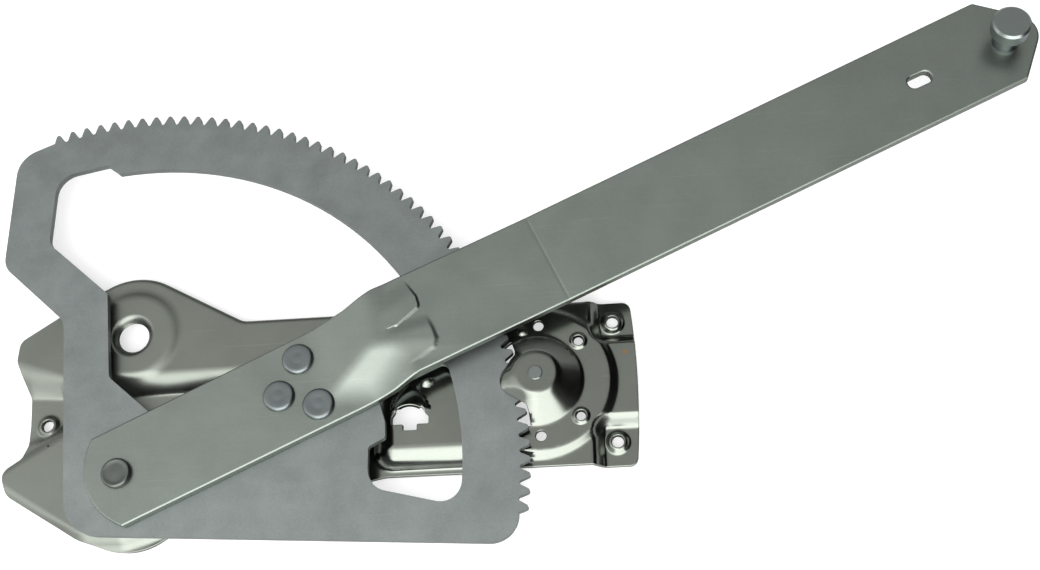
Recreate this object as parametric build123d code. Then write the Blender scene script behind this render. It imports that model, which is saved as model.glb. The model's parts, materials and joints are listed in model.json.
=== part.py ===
from build123d import *

import os
from math import acos, atan2, cos, degrees, hypot, pi, radians, sin, sqrt, tan

# Window regulator of a single-arm door: a pressed base plate carries a toothed sector
# on a shouldered pivot pin. A long arm is riveted to the sector and ends in a stud for
# the glass channel. An eight tooth pinion under a domed cover turns the sector.
#
# Plan places are X, Y from the pivot axis and heights are from the door panel's face,
# in millimetres. The finished model is moved so that its origin is where the drive
# axis meets the panel's face.

# Gears
MODULE = 2.0
PRESSURE_ANGLE = 25.0
SECTOR_FULL_TEETH = 160
SECTOR_TEETH = 51
PINION_TEETH = 8
SECTOR_ADDENDUM = 1.8
SECTOR_DEDENDUM = 2.3
PINION_ADDENDUM = 1.6
PINION_DEDENDUM = 2.25
TOOTH_PLAY = 0.12
TIP_ROUND = 0.7
FIRST_TOOTH_ANGLE = 105.6
DRIVE_ANGLE = 11.2

# Sheet thicknesses
PLATE_THICK = 2.0
DOME_THICK = 1.5
SECTOR_THICK = 3.0
ARM_THICK = 4.0

# Heights of the upper faces above the panel's face
MAIN_TOP = 7.5
EMBOSS_TOP = 8.5
RING_TOP = 9.5
SEAT_TOP = 11.0
DOME_TOP = 19.0
SPACER_THICK = 1.0
ARM_LIFT = 5.5

# Run of the pressed walls, measured sideways over their height
WALL_RUN = 6.5
PAD_WALL_RUN = 4.2
SEAT_WALL_RUN = 3.0
RING_WALL_RUN = 2.2

# Base plate outline; rows hold X, Y and the corner's radius
PLATE_LOW_Y = -2.0
PLATE_FLANGE = 0.8
PLATE_HIGH_Y = 66.4
PLATE_END_FROM_DRIVE = 37.8
PLATE_RIGHT_BULGE = 1.8
PLATE_CORNER = 3.5
PIVOT_SKIRT_RADIUS = 27.7
SKIRT_ANGLES = (248.0, 275.0, 300.0)
SKIRT_WAIST = (24.0, -18.5)
SKIRT_WAIST_RADIUS = 15.0
SKIRT_RUN_OUT = 103.0
SKIRT_RUN_OUT_RADIUS = 20.0
LOBE_RADIUS = 26.5
LOBE_END_ANGLE = 122.0
LOBE_FOOT_X = 43.0
LOBE_FOOT_RADIUS = 8.0
LEFT_LOBES = [
    (-52.2, 62.0, 5.0),
    (-52.7, 53.5, 6.0),
    (-46.6, 38.0, 9.0),
    (-45.6, 26.5, 30.0),
    (-45.4, 11.8, 2.5),
    (-53.6, 6.2, 5.0),
    (-50.6, -3.6, 6.0),
    (-19.0, -22.9, 20.0),
]
LIP_THICK = 2.0
LIP_START = 16.0
LIP_SLACK = 1.25

# Raised fields of the base plate run past its outline, and cuts run past its faces
FIELD_OVERRUN = 30.0
OVERCUT = 1.0
UPPER_FIELD_LEFT_Y = 49.0
UPPER_FIELD_Y = 45.8
UPPER_FIELD_STEP = (-24.0, -12.0)
UPPER_FIELD_BLEND = 10.0
GUIDE_FIELD_X = 103.5
GUIDE_FIELD_CORNER = 9.0
RIGHT_FIELD_FROM_DRIVE = 14.0
RIGHT_FIELD_CORNER = 6.0
PIVOT_FIELD = [
    (-80.5, -10.0, 0.0),
    (-42.6, 13.0, 4.0),
    (-24.0, 23.6, 9.0),
    (-2.0, 24.0, 12.0),
    (24.0, 13.0, 20.0),
    (64.0, 9.0, 4.5),
    (64.0, -1.5, 4.5),
    (6.5, -19.8, 10.0),
    (-1.2, -22.0, 8.0),
    (-10.4, -20.3, 3.0),
    (-24.0, -45.0, 0.0),
    (-80.5, -45.0, 0.0),
]

# Holes of the base plate
BIG_HOLE_X = -3.6
BIG_HOLE_Y = 61.7
BIG_HOLE_RADIUS = 6.1
BIG_HOLE_MOUTH = 8.2
BIG_HOLE_DEPTH = 4.5
BIG_HOLE_WALL = 1.5
BIG_HOLE_SKIN = 1.6
EMBOSS_RADIUS = 18.0
EMBOSS_WALL_RUN = 1.5
PANEL_HOLE_RADIUS = 2.5
PANEL_COLLAR_RADIUS = 4.5
PANEL_COLLAR_HEIGHT = 2.0
PANEL_HOLES_FROM_DRIVE = 30.5
PANEL_HOLES_SPACING = 50.0
LEFT_HOLE_X = -37.6
LEFT_HOLE_Y = 25.8
PAD_EDGE_FROM_DRIVE = 21.4
PAD_EDGE_HALF_GAP = 15.0

# Motor ring and dome
RING_RADIUS = 29.3
MOTOR_PCD = 45.8
MOTOR_HOLE_RADIUS = 2.1
MOTOR_COLLAR_RADIUS = 3.6
MOTOR_COLLAR_HEIGHT = 1.2
MOTOR_TAPPED_ANGLE = 42.8
MOTOR_PLAIN_ANGLE = 87.5
DOME_BASE_RADIUS = 18.3
DOME_FLAT_RADIUS = 9.2
NOSE_OFFSET = 8.0
NOSE_BASE_RADIUS = 13.0
NOSE_TOP_RADIUS = 4.5
NOSE_TOP = 17.6
SLOT_CLEARANCE = 0.6

# Raised cable guide with its notched window, and two small bosses
GUIDE_X = 113.6
GUIDE_Y = 17.8
GUIDE_WIDTH = 14.8
GUIDE_SIDE = 3.0
GUIDE_RISE = 4.0
NOTCH_WIDTH = 5.4
NOTCH_DEPTH = 2.5
HOOD_OVERLAP = 0.6
HOOD_SHIFT = 0.5
HOOD_MOUTH = 2.5
HOOD_SKIN = 1.6
HOOD_LENGTH = 9.6
HOOD_HEIGHT = 3.0
HOOD_ROOF = 1.2
BOSSES = [
    (119.8, 36.0, MAIN_TOP, 3.2, 1.2),
    (159.2, 53.6, RING_TOP, 2.6, 0.8),
]
BOSS_TAPER = 0.5
BOSS_ROOT = 0.5

# Sector plate; rows hold X, Y and the corner's radius
RIM_INNER_RADIUS = 135.6
RIM_SWEEP_MARGIN = 10.0
WEB_HALF_WIDTH = 17.0
SECTOR_BODY = [
    (156.8, -32.9, 10.8),
    (5.0, -24.0, 60.0),
    (-21.0, -22.4, 16.0),
    (-31.0, 67.4, 8.0),
    (-60.2, 93.8, 9.5),
    (-60.3, 145.7, 12.0),
]
STEP_ANGLE = 95.8
STEP_TURN = 2.1
STEP_DROP = 0.1
STEP_DEPTH = 5.2
STEP_RADIUS = 1.5
BIG_WINDOW_END_RADIUS = 8.0
BIG_WINDOW = [
    (12.8, 22.7, 4.0),
    (-9.1, 41.7, 4.0),
    (-13.4, 78.7, 2.5),
    (-41.6, 103.5, 5.5),
    (-41.5, 135.2, 10.0),
]
SMALL_WINDOW_SHIFT = 1.0
SMALL_WINDOW_ANGLE = -7.5
SMALL_WINDOW_LOW_RADIUS = 8.0
SMALL_WINDOW_UPPER_RADIUS = 3.0
SMALL_WINDOW_LAST_U = 104.4
SMALL_WINDOW_LAST_RADIUS = 3.0
SMALL_WINDOW = [
    (98.6, -8.8, 9.0),
    (98.6, 7.2, 2.0),
    (105.3, 10.6, 1.5),
    (105.0, 17.0, 8.0),
]

# Arm, along its own axis U from the pivot and V across it; edge rows hold U, the
# distance from the axis beyond the half width, and the corner's radius
ARM_ANGLE = 24.3
ARM_HALF_WIDTH = 20.2
ARM_ROOT_U = -5.0
ARM_ROOT_BULGE = 8.3
ARM_END_U = 393.0
CREASE_U = 188.5
ARM_LOWER_EDGE = [
    (ARM_ROOT_U, 0.4, 0.0),
    (112.0, 0.0, 20.0),
    (124.0, -1.6, 12.0),
    (CREASE_U, -1.0, 0.0),
    (ARM_END_U, 1.1, 0.0),
]
ARM_TIP = (ARM_END_U + 20.2, -1.8, 10.0)
ARM_UPPER_EDGE = [
    (ARM_END_U, -0.8, 0.0),
    (CREASE_U, 1.2, 0.0),
    (136.0, 1.8, 30.0),
    (120.0, 1.9, 14.0),
    (106.0, -0.2, 12.0),
    (ARM_ROOT_U, -1.8, 0.0),
]
ARM_REACH = ARM_END_U + 47.0
JOGGLE_START = 102.0
JOGGLE_END = 121.0
JOGGLE_FILLET = 9.0
OUTER_RISE_ANGLE = 1.5
SLOT_U = ARM_END_U - 37.0
SLOT_V = -1.0
SLOT_LENGTH = 10.0
SLOT_WIDTH = 5.5
SLOT_TURN = -2.0

# Marks pressed up over the arm's joggle: a widening ridge that ends in two fingers
RIDGE_U = 77.0
RIDGE_V = -7.3
RIDGE_TURN = 13.5
RIDGE_SPREAD = 0.543
RIDGE_RISE = 0.21
RIDGE_SINK = 2.0
RIDGE_LENGTH = 60.0
RIDGE_END = 122.0
MARK_HEIGHT = 0.8
FINGERS = [
    [(114.0, 4.0, 0.0), (123.5, 2.6, 1.0), (134.0, 6.4, 2.0), (134.6, 15.0, 4.0), (114.0, 17.0, 0.0)],
    [(114.0, -1.0, 0.0), (124.0, 1.4, 2.0), (134.4, -4.0, 4.0), (133.6, -12.4, 2.0), (114.0, -15.0, 0.0)],
]

# Pivot pin, its bush and spacer
PIN_RADIUS = 4.0
PIN_RUNNING = 0.04
PIN_HEAD_RADIUS = 6.0
PIN_HEAD_HEIGHT = 2.5
PIN_NECK_RADIUS = 3.2
PIN_FOOT_RADIUS = 5.5
PIN_FOOT_HEIGHT = 1.5
PIN_END_PLAY = 0.05
BUSH_WALL = 1.0
PIN_HEAD_CHAMFER = 0.6
SPACER_RADIUS = 12.0
SEAT_MARGIN = 3.0
FOOT_TAPER = 0.8

# Rivets that join the arm to the sector
RIVET_SPOTS = [(81.8, 10.6), (69.3, -0.3), (82.3, -10.7)]
RIVET_RADIUS = 4.2
RIVET_HEAD_RADIUS = 6.4
RIVET_HEAD_HEIGHT = 2.0
RIVET_HEAD_CHAMFER = 0.5
RIVET_FOOT_RADIUS = 5.8
RIVET_FOOT_HEIGHT = 1.3

# Stud at the arm's end
STUD_U = ARM_END_U + 1.0
STUD_V = -3.0
STUD_RADIUS = 4.2
STUD_COLLAR_RADIUS = 5.5
STUD_COLLAR_HEIGHT = 1.2
STUD_TOP_CHAMFER = 0.9
STUD_LOW_CHAMFER = 0.6
STUD_HEAD_RADIUS = 7.6
STUD_HEAD_THICK = 6.6
STUD_HEIGHT = 15.3
STUD_SHANK_RADIUS = 3.6
STUD_FOOT_RADIUS = 5.6
STUD_FOOT_HEIGHT = 1.2

# Pinion, its spindle and what holds it
SPINDLE_RADIUS = 3.0
SPINDLE_RUNNING = 0.03
SPINDLE_NECK_RADIUS = 2.4
SPINDLE_CAP_RADIUS = 2.9
SPINDLE_CAP_HEIGHT = 0.4
SPINDLE_CAP_TAPER = 0.3
PINION_BUSH_WALL = 1.0
PINION_OVERLAP = 0.6
PINION_BOSS_RADIUS = 5.0
PINION_BOSS_HEIGHT = 0.8
PINION_END_PLAY = 0.1
HUB_RADIUS = 7.5
SOCKET_RADIUS = 4.8
SOCKET_DEPTH = 6.0
CLIP_ROOM_RADIUS = 4.6
CLIP_ROOM_HEIGHT = 2.0
KEY_WIDTH = 2.4
KEY_DEPTH = 1.2
WASHER_RADIUS = 7.0
CLIP_THICK = 0.8
CLIP_RADIUS = 4.4
CLIP_GAP = 2.4
CLIP_GROOVE_DEPTH = 0.5
SPINDLE_TAIL = 1.0

# Values that follow from the sizes above
SECTOR_PITCH_RADIUS = MODULE * SECTOR_FULL_TEETH / 2
PINION_PITCH_RADIUS = MODULE * PINION_TEETH / 2
CENTRE_DISTANCE = SECTOR_PITCH_RADIUS + PINION_PITCH_RADIUS
TOOTH_ANGLE = 360.0 / SECTOR_FULL_TEETH
SECTOR_ROOT = SECTOR_PITCH_RADIUS - SECTOR_DEDENDUM
SECTOR_TIP = SECTOR_PITCH_RADIUS + SECTOR_ADDENDUM
DRIVE_X = CENTRE_DISTANCE * cos(radians(DRIVE_ANGLE))
DRIVE_Y = CENTRE_DISTANCE * sin(radians(DRIVE_ANGLE))
PLATE_RIGHT_X = DRIVE_X + PLATE_END_FROM_DRIVE
SECTOR_LOW = SEAT_TOP + SPACER_THICK
SECTOR_HIGH = SECTOR_LOW + SECTOR_THICK
ARM_HIGH = SECTOR_HIGH + ARM_THICK
OUTER_LOW = SECTOR_HIGH + ARM_LIFT
OUTER_HIGH = OUTER_LOW + ARM_THICK
DOME_INSIDE = DOME_TOP - DOME_THICK
PINION_HIGH = SECTOR_HIGH + PINION_OVERLAP
PINION_LOW = SECTOR_LOW - PINION_OVERLAP
BOSS_HIGH = PINION_HIGH + PINION_BOSS_HEIGHT
OUTER_SLOPE = tan(radians(OUTER_RISE_ANGLE))
BUSH_RADIUS = PIN_RADIUS + PIN_RUNNING + BUSH_WALL
MARK_TOP = OUTER_HIGH + MARK_HEIGHT
PINION_BUSH_LOW = SOCKET_DEPTH + CLIP_ROOM_HEIGHT


def polar(radius, angle):
    """Point at a radius and an angle in degrees about the pivot."""
    return (radius * cos(radians(angle)), radius * sin(radians(angle)))


def involute(angle):
    """Involute function of a pressure angle in radians."""
    return tan(angle) - angle


def half_tooth_angle(radius, pitch_radius):
    """Half the angle, in degrees, that an involute tooth fills at a radius."""
    base_radius = pitch_radius * cos(radians(PRESSURE_ANGLE))
    at_radius = acos(min(1.0, base_radius / radius))
    half_pitch_tooth = (pi * MODULE / 2 - TOOTH_PLAY) / (2 * pitch_radius)
    return degrees(half_pitch_tooth + involute(radians(PRESSURE_ANGLE)) - involute(at_radius))


def round_corners(face, rows):
    """Face with the corner at each row's X, Y rounded by the row's radius, 0 for sharp."""
    for x, y, radius in rows:
        if radius > 0:
            corner = face.vertices().sort_by_distance((x, y, 0))[0]
            face = fillet(corner, radius)
    return face


def points_of(rows):
    """X, Y of each row."""
    return [(x, y) for x, y, radius in rows]


def outline_face(rows):
    """Flat face of a closed outline of corner rows."""
    return round_corners(make_face(Polyline(*points_of(rows), close=True)), rows)


def disc(x, y, radius, low, high):
    """Round solid between two heights."""
    return Pos(x, y, low) * extrude(Circle(radius), amount=high - low)


def cone(x, y, low_radius, high_radius, low, high):
    """Conical solid between two heights."""
    middle = (low + high) / 2
    return Pos(x, y, middle) * Cone(low_radius, high_radius, high - low)


def tapered(face, top, bottom, slope):
    """Solid under a face at the top height, its walls running outwards as they go down."""
    plane_face = Pos(0, 0, top) * face
    return extrude(plane_face, amount=top - bottom, dir=(0, 0, -1), taper=-degrees(atan2(slope, 1)))


def wall_inset(slope, thick):
    """How far a pressed wall's inner face steps in at the underside of its top."""
    return thick * (sqrt(1 + slope * slope) - slope)


def on_arm(u, v):
    """Plan point of a place on the arm's own axes."""
    a = radians(ARM_ANGLE)
    return (u * cos(a) - v * sin(a), u * sin(a) + v * cos(a))


def tooth_edges(centre_angle, half_angle, flank_low, flank_high, tip_radius):
    """Flanks and rounded tip of one tooth, in order of falling angle."""
    radii = [flank_low, (flank_low + flank_high) / 2, flank_high]
    rising = [polar(r, centre_angle + half_angle(r)) for r in radii]
    falling = [polar(r, centre_angle - half_angle(r)) for r in reversed(radii)]
    return [
        ThreePointArc(*rising),
        ThreePointArc(rising[-1], polar(tip_radius, centre_angle), falling[0]),
        ThreePointArc(*falling),
    ]


def sector_teeth_edges():
    """Toothed stretch of the sector's outline, from the first tooth to the last."""

    def half(radius):
        return half_tooth_angle(radius, SECTOR_PITCH_RADIUS)

    low = SECTOR_ROOT + TIP_ROUND
    high = SECTOR_TIP - TIP_ROUND
    edges = []
    for index in range(SECTOR_TEETH):
        centre = FIRST_TOOTH_ANGLE - index * TOOTH_ANGLE
        edges += tooth_edges(centre, half, low, high, SECTOR_TIP)
        if index < SECTOR_TEETH - 1:
            start = polar(low, centre - half(low))
            root = polar(SECTOR_ROOT, centre - TOOTH_ANGLE / 2)
            end = polar(low, centre - TOOTH_ANGLE + half(low))
            edges.append(ThreePointArc(start, root, end))
    return edges


def sector_outline():
    """Sector plate with its teeth and rounded body, without windows."""
    teeth = sector_teeth_edges()
    first = teeth[0] @ 0
    last = teeth[-1] @ 1
    radii = [radius for x, y, radius in SECTOR_BODY]
    path = FilletPolyline((last.X, last.Y), *points_of(SECTOR_BODY), (first.X, first.Y), radius=radii)
    return make_face(Wire(teeth + list(path.edges())))


def rim_meets_web(offset_v):
    """Plan point where the rim's inner edge meets an edge along the arm's web."""
    return on_arm(sqrt(RIM_INNER_RADIUS**2 - offset_v**2), offset_v)


def big_window():
    """Large window of the sector, with the stop step at the end of its rim."""
    web_end = rim_meets_web(WEB_HALF_WIDTH)
    rim_end = polar(RIM_INNER_RADIUS - STEP_DROP, STEP_ANGLE)
    step_end = polar(RIM_INNER_RADIUS - STEP_DROP + STEP_DEPTH, STEP_ANGLE + STEP_TURN)
    middle_angle = (STEP_ANGLE + degrees(atan2(web_end[1], web_end[0]))) / 2
    rim = ThreePointArc(rim_end, polar(RIM_INNER_RADIUS, middle_angle), web_end)
    body = Polyline(web_end, *points_of(BIG_WINDOW), step_end, rim_end)
    face = make_face(Wire([rim] + list(body.edges())))
    rows = [(*web_end, BIG_WINDOW_END_RADIUS), *BIG_WINDOW, (*step_end, STEP_RADIUS)]
    return round_corners(face, rows)


def small_window():
    """Small window between the arm's web, the rim and the sector's lower edge."""
    web_edge = SMALL_WINDOW_SHIFT - WEB_HALF_WIDTH
    web_end = rim_meets_web(web_edge)
    low_end = polar(RIM_INNER_RADIUS, SMALL_WINDOW_ANGLE)
    middle_angle = (SMALL_WINDOW_ANGLE + degrees(atan2(web_end[1], web_end[0]))) / 2
    rim = ThreePointArc(web_end, polar(RIM_INNER_RADIUS, middle_angle), low_end)
    last = on_arm(SMALL_WINDOW_LAST_U, web_edge)
    body = Polyline(low_end, *points_of(SMALL_WINDOW), last, web_end)
    face = make_face(Wire([rim] + list(body.edges())))
    rows = [(*low_end, SMALL_WINDOW_LOW_RADIUS), *SMALL_WINDOW]
    rows += [(*last, SMALL_WINDOW_LAST_RADIUS), (*web_end, SMALL_WINDOW_UPPER_RADIUS)]
    return round_corners(face, rows)


def make_sector():
    """Toothed sector, with its windows, pivot hole and rivet holes."""
    plate = extrude(sector_outline(), amount=SECTOR_THICK)
    for window in (big_window(), small_window()):
        plate -= extrude(window, amount=SECTOR_THICK)
    plate = Pos(0, 0, SECTOR_LOW) * plate
    return plate - pivot_and_rivet_holes(SECTOR_LOW, SECTOR_HIGH)


def pivot_and_rivet_holes(low, high):
    """Bush hole and rivet holes, which the sector and the arm share."""
    holes = disc(0, 0, BUSH_RADIUS, low, high)
    for u, v in RIVET_SPOTS:
        holes += disc(*on_arm(u, v), RIVET_RADIUS, low, high)
    return holes


def arm_plan():
    """Outline of the arm on its own axes."""
    lower = [(u, -ARM_HALF_WIDTH - beyond, radius) for u, beyond, radius in ARM_LOWER_EDGE]
    upper = [(u, ARM_HALF_WIDTH + beyond, radius) for u, beyond, radius in ARM_UPPER_EDGE]
    rows = lower + [ARM_TIP] + upper
    body = Polyline(*points_of(rows))
    root = ThreePointArc(body @ 1, (ARM_ROOT_U - ARM_ROOT_BULGE, 0.0), body @ 0)
    face = make_face(Wire([root] + list(body.edges())))
    return extrude(round_corners(face, rows), amount=2 * OUTER_HIGH)


def arm_under_line():
    """Side view of the arm's underside: flat root, joggle, flat and rising end."""
    end_height = OUTER_LOW + (ARM_REACH - CREASE_U) * OUTER_SLOPE
    return [
        (-2 * ARM_HALF_WIDTH, SECTOR_HIGH),
        (JOGGLE_START, SECTOR_HIGH),
        (JOGGLE_END, OUTER_LOW),
        (CREASE_U, OUTER_LOW),
        (ARM_REACH, end_height),
    ]


def across_arm(face):
    """Solid of a side view, wide enough to cover the arm."""
    return extrude(Plane.XZ * face, amount=2 * ARM_HALF_WIDTH, both=True)


def arm_sheet():
    """Bent sheet of the arm, still wider than the arm."""
    low = arm_under_line()
    high = [(u, z + ARM_THICK) for u, z in low]
    face = make_face(Polyline(*low, *reversed(high), close=True))
    inner = JOGGLE_FILLET
    outer = JOGGLE_FILLET + ARM_THICK
    bends = [(*low[1], outer), (*high[1], inner), (*low[2], inner), (*high[2], outer)]
    return across_arm(round_corners(face, bends))


def pressed_marks():
    """Ridge over the joggle and the two fingers it runs out in, from inside the sheet up."""
    end_radius = RIDGE_SPREAD * RIDGE_LENGTH
    ridge = Cone(0, end_radius, RIDGE_LENGTH, align=(Align.CENTER, Align.CENTER, Align.MIN))
    ridge = scale(Rot(0, 90, 0) * ridge, by=(1, 1, RIDGE_RISE / RIDGE_SPREAD))
    ridge = Pos(RIDGE_U, RIDGE_V, ARM_HIGH - RIDGE_SINK) * Rot(0, 0, RIDGE_TURN) * ridge
    ridge &= Pos(RIDGE_END / 2, 0, MARK_TOP / 2) * Box(RIDGE_END, 4 * ARM_HALF_WIDTH, MARK_TOP)
    marks = ridge
    for finger in FINGERS:
        marks += Pos(0, 0, OUTER_LOW) * extrude(outline_face(finger), amount=MARK_TOP - OUTER_LOW)
    return marks


def above_sheet_middle():
    """Everything above the middle of the arm's sheet, up to the marks' top."""
    low = [(u, z + ARM_THICK / 2) for u, z in arm_under_line()]
    high = [(ARM_REACH, 2 * OUTER_HIGH), (low[0][0], 2 * OUTER_HIGH)]
    return across_arm(make_face(Polyline(*low, *high, close=True)))


def make_arm():
    """Lift arm: root flat on the sector, joggle over the dome, rising outer end."""
    marks = pressed_marks()
    arm = arm_sheet() + (marks & above_sheet_middle())
    arm -= Pos(0, 0, -ARM_THICK) * marks
    arm &= arm_plan()
    slot = Pos(SLOT_U, SLOT_V, 0) * Rot(0, 0, SLOT_TURN) * SlotOverall(SLOT_LENGTH, SLOT_WIDTH)
    arm -= extrude(slot, amount=2 * OUTER_HIGH)
    arm -= at_stud(disc(0, 0, STUD_SHANK_RADIUS, -2 * ARM_THICK, ARM_THICK))
    arm = Rot(0, 0, ARM_ANGLE) * arm
    return arm - pivot_and_rivet_holes(SECTOR_HIGH, ARM_HIGH)


def lobe_tangent(x, y):
    """Point where a line from a plan point touches the lobe round the big hole."""
    dx, dy = x - BIG_HOLE_X, y - BIG_HOLE_Y
    turn = acos(LOBE_RADIUS / hypot(dx, dy))
    angle = degrees(atan2(dy, dx) + turn)
    px, py = polar(LOBE_RADIUS, angle)
    return (BIG_HOLE_X + px, BIG_HOLE_Y + py)


def plate_outline():
    """Outline of the base plate's blank."""
    lobe_foot = (LOBE_FOOT_X, PLATE_HIGH_Y)
    run_out = (SKIRT_RUN_OUT, PLATE_LOW_Y)
    low_corner = (PLATE_RIGHT_X, PLATE_LOW_Y)
    high_corner = (PLATE_RIGHT_X, PLATE_HIGH_Y)
    right_middle = (PLATE_RIGHT_X + PLATE_RIGHT_BULGE, (PLATE_LOW_Y + PLATE_HIGH_Y) / 2)
    lobe_start = lobe_tangent(*lobe_foot)
    lobe_top = (BIG_HOLE_X, BIG_HOLE_Y + LOBE_RADIUS)
    end_x, end_y = polar(LOBE_RADIUS, LOBE_END_ANGLE)
    lobe_end = (BIG_HOLE_X + end_x, BIG_HOLE_Y + end_y)
    skirt = [polar(PIVOT_SKIRT_RADIUS, angle) for angle in SKIRT_ANGLES]
    edges = [
        ThreePointArc(*skirt),
        Line(skirt[-1], SKIRT_WAIST),
        Line(SKIRT_WAIST, run_out),
        Line(run_out, low_corner),
        ThreePointArc(low_corner, right_middle, high_corner),
        Line(high_corner, lobe_foot),
        Line(lobe_foot, lobe_start),
        ThreePointArc(lobe_start, lobe_top, lobe_end),
    ]
    radii = [radius for x, y, radius in LEFT_LOBES]
    left = FilletPolyline(lobe_end, *points_of(LEFT_LOBES), skirt[0], radius=radii)
    face = make_face(Wire(edges + list(left.edges())))
    rows = [
        (*low_corner, PLATE_CORNER),
        (*high_corner, PLATE_CORNER),
        (*lobe_foot, LOBE_FOOT_RADIUS),
        (*SKIRT_WAIST, SKIRT_WAIST_RADIUS),
        (*run_out, SKIRT_RUN_OUT_RADIUS),
    ]
    return round_corners(face, rows)


def upper_field():
    """Raised field along the plate's upper edge and round the cable guide."""
    left = LEFT_LOBES[1][0] - FIELD_OVERRUN
    right = DRIVE_X
    low = PLATE_LOW_Y + PLATE_FLANGE + WALL_RUN
    high = PLATE_HIGH_Y + FIELD_OVERRUN
    rows = [
        (left, UPPER_FIELD_LEFT_Y, 0),
        (UPPER_FIELD_STEP[0], UPPER_FIELD_LEFT_Y, UPPER_FIELD_BLEND),
        (UPPER_FIELD_STEP[1], UPPER_FIELD_Y, UPPER_FIELD_BLEND),
        (GUIDE_FIELD_X, UPPER_FIELD_Y, GUIDE_FIELD_CORNER),
        (GUIDE_FIELD_X, low, PLATE_CORNER),
        (right, low, 0),
        (right, high, 0),
        (left, high, 0),
    ]
    return outline_face(rows)


def right_field():
    """Raised field round the motor ring, between the two panel pads."""
    left = DRIVE_X - RIGHT_FIELD_FROM_DRIVE
    edge = DRIVE_X + PAD_EDGE_FROM_DRIVE
    far = PLATE_RIGHT_X + FIELD_OVERRUN
    low = DRIVE_Y - PAD_EDGE_HALF_GAP
    high = DRIVE_Y + PAD_EDGE_HALF_GAP
    bottom = PLATE_LOW_Y - FIELD_OVERRUN
    top = PLATE_HIGH_Y + FIELD_OVERRUN
    rows = [
        (left, bottom, 0),
        (edge, bottom, 0),
        (edge, low, RIGHT_FIELD_CORNER),
        (far, low, 0),
        (far, high, 0),
        (edge, high, RIGHT_FIELD_CORNER),
        (edge, top, 0),
        (left, top, 0),
    ]
    return outline_face(rows)


def pressed_pair(face, top, run, height, bottom):
    """Outer form of a pressed field and the hollow under it."""
    slope = run / height
    inner_face = offset(face, amount=-wall_inset(slope, PLATE_THICK), kind=Kind.INTERSECTION)
    outer = tapered(face, top, bottom, slope)
    inner = tapered(inner_face, top - PLATE_THICK, bottom - OVERCUT, slope)
    return outer, inner


def pressed_disc(x, y, radius, top, foot, run, thick):
    """Round pressed step: a cone down to its foot and the hollow under it."""
    slope = run / (top - foot)
    outer = cone(x, y, radius + run, radius, foot, top)
    inner_top = top - thick
    inner_foot = foot - PLATE_THICK
    inner_radius = radius - wall_inset(slope, thick)
    inner = cone(x, y, inner_radius + (inner_top - inner_foot) * slope, inner_radius, inner_foot, inner_top)
    return outer, inner


def nose_centre():
    """Plan centre of the dome's nose, which reaches over the sector's rim."""
    return polar(CENTRE_DISTANCE - NOSE_OFFSET, DRIVE_ANGLE)


def dome_pair():
    """Dome over the pinion with its nose, and the room inside them."""
    dome_run = DOME_BASE_RADIUS - DOME_FLAT_RADIUS
    nose_run = NOSE_BASE_RADIUS - NOSE_TOP_RADIUS
    dome = pressed_disc(DRIVE_X, DRIVE_Y, DOME_FLAT_RADIUS, DOME_TOP, RING_TOP, dome_run, DOME_THICK)
    nose = pressed_disc(*nose_centre(), NOSE_TOP_RADIUS, NOSE_TOP, RING_TOP, nose_run, DOME_THICK)
    return dome[0] + nose[0], dome[1] + nose[1]


def rim_slot():
    """Ring-shaped room that the sector's rim sweeps through the dome's open side."""
    low = RING_TOP
    high = SECTOR_HIGH + SLOT_CLEARANCE
    outer = disc(0, 0, SECTOR_TIP + SLOT_CLEARANCE, low, high)
    return outer - disc(0, 0, RIM_INNER_RADIUS - RIM_SWEEP_MARGIN, low, high)


def guide_hood():
    """Raised hood of the cable guide: part of a flattened ball, and its hollow."""
    y = GUIDE_Y + GUIDE_SIDE + HOOD_SHIFT
    half = GUIDE_WIDTH / 2 + HOOD_OVERLAP
    skin = scale(Sphere(1.0), by=(half, HOOD_LENGTH, HOOD_HEIGHT))
    inside = (half - HOOD_SKIN, HOOD_LENGTH - HOOD_SKIN, HOOD_HEIGHT - HOOD_ROOF)
    hollow = scale(Sphere(1.0), by=inside)
    upper = Pos(0, HOOD_MOUTH + HOOD_LENGTH, HOOD_HEIGHT) * Box(3 * half, 2 * HOOD_LENGTH, 2 * HOOD_HEIGHT)
    place = Pos(GUIDE_X, y, MAIN_TOP)
    return place * (skin & upper), place * hollow


def guide_window():
    """Notched window under the hood."""
    half = GUIDE_WIDTH / 2
    low = GUIDE_Y
    notch = NOTCH_WIDTH / 2
    side = low + GUIDE_SIDE
    outline = Polyline(
        (GUIDE_X + half, side),
        (GUIDE_X + half, low),
        (GUIDE_X + notch, low),
        (GUIDE_X + notch, low - NOTCH_DEPTH),
        (GUIDE_X - notch, low - NOTCH_DEPTH),
        (GUIDE_X - notch, low),
        (GUIDE_X - half, low),
        (GUIDE_X - half, side),
    )
    arch = ThreePointArc((GUIDE_X - half, side), (GUIDE_X, side + GUIDE_RISE), (GUIDE_X + half, side))
    face = make_face(Wire(list(outline.edges()) + [arch]))
    return extrude(face, amount=MAIN_TOP)


def panel_hole_spots():
    """Plan places of the three threaded holes that take the panel's bolts."""
    x = DRIVE_X + PANEL_HOLES_FROM_DRIVE
    half = PANEL_HOLES_SPACING / 2
    return [(x, DRIVE_Y - half), (x, DRIVE_Y + half), (LEFT_HOLE_X, LEFT_HOLE_Y)]


def motor_hole_spots(angle):
    """Plan places of one pair of motor holes, either side of the ring's own axis."""
    spots = []
    for side in (-1, 1):
        dx, dy = polar(MOTOR_PCD / 2, side * angle)
        spots.append((DRIVE_X + dx, DRIVE_Y + dy))
    return spots


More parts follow.
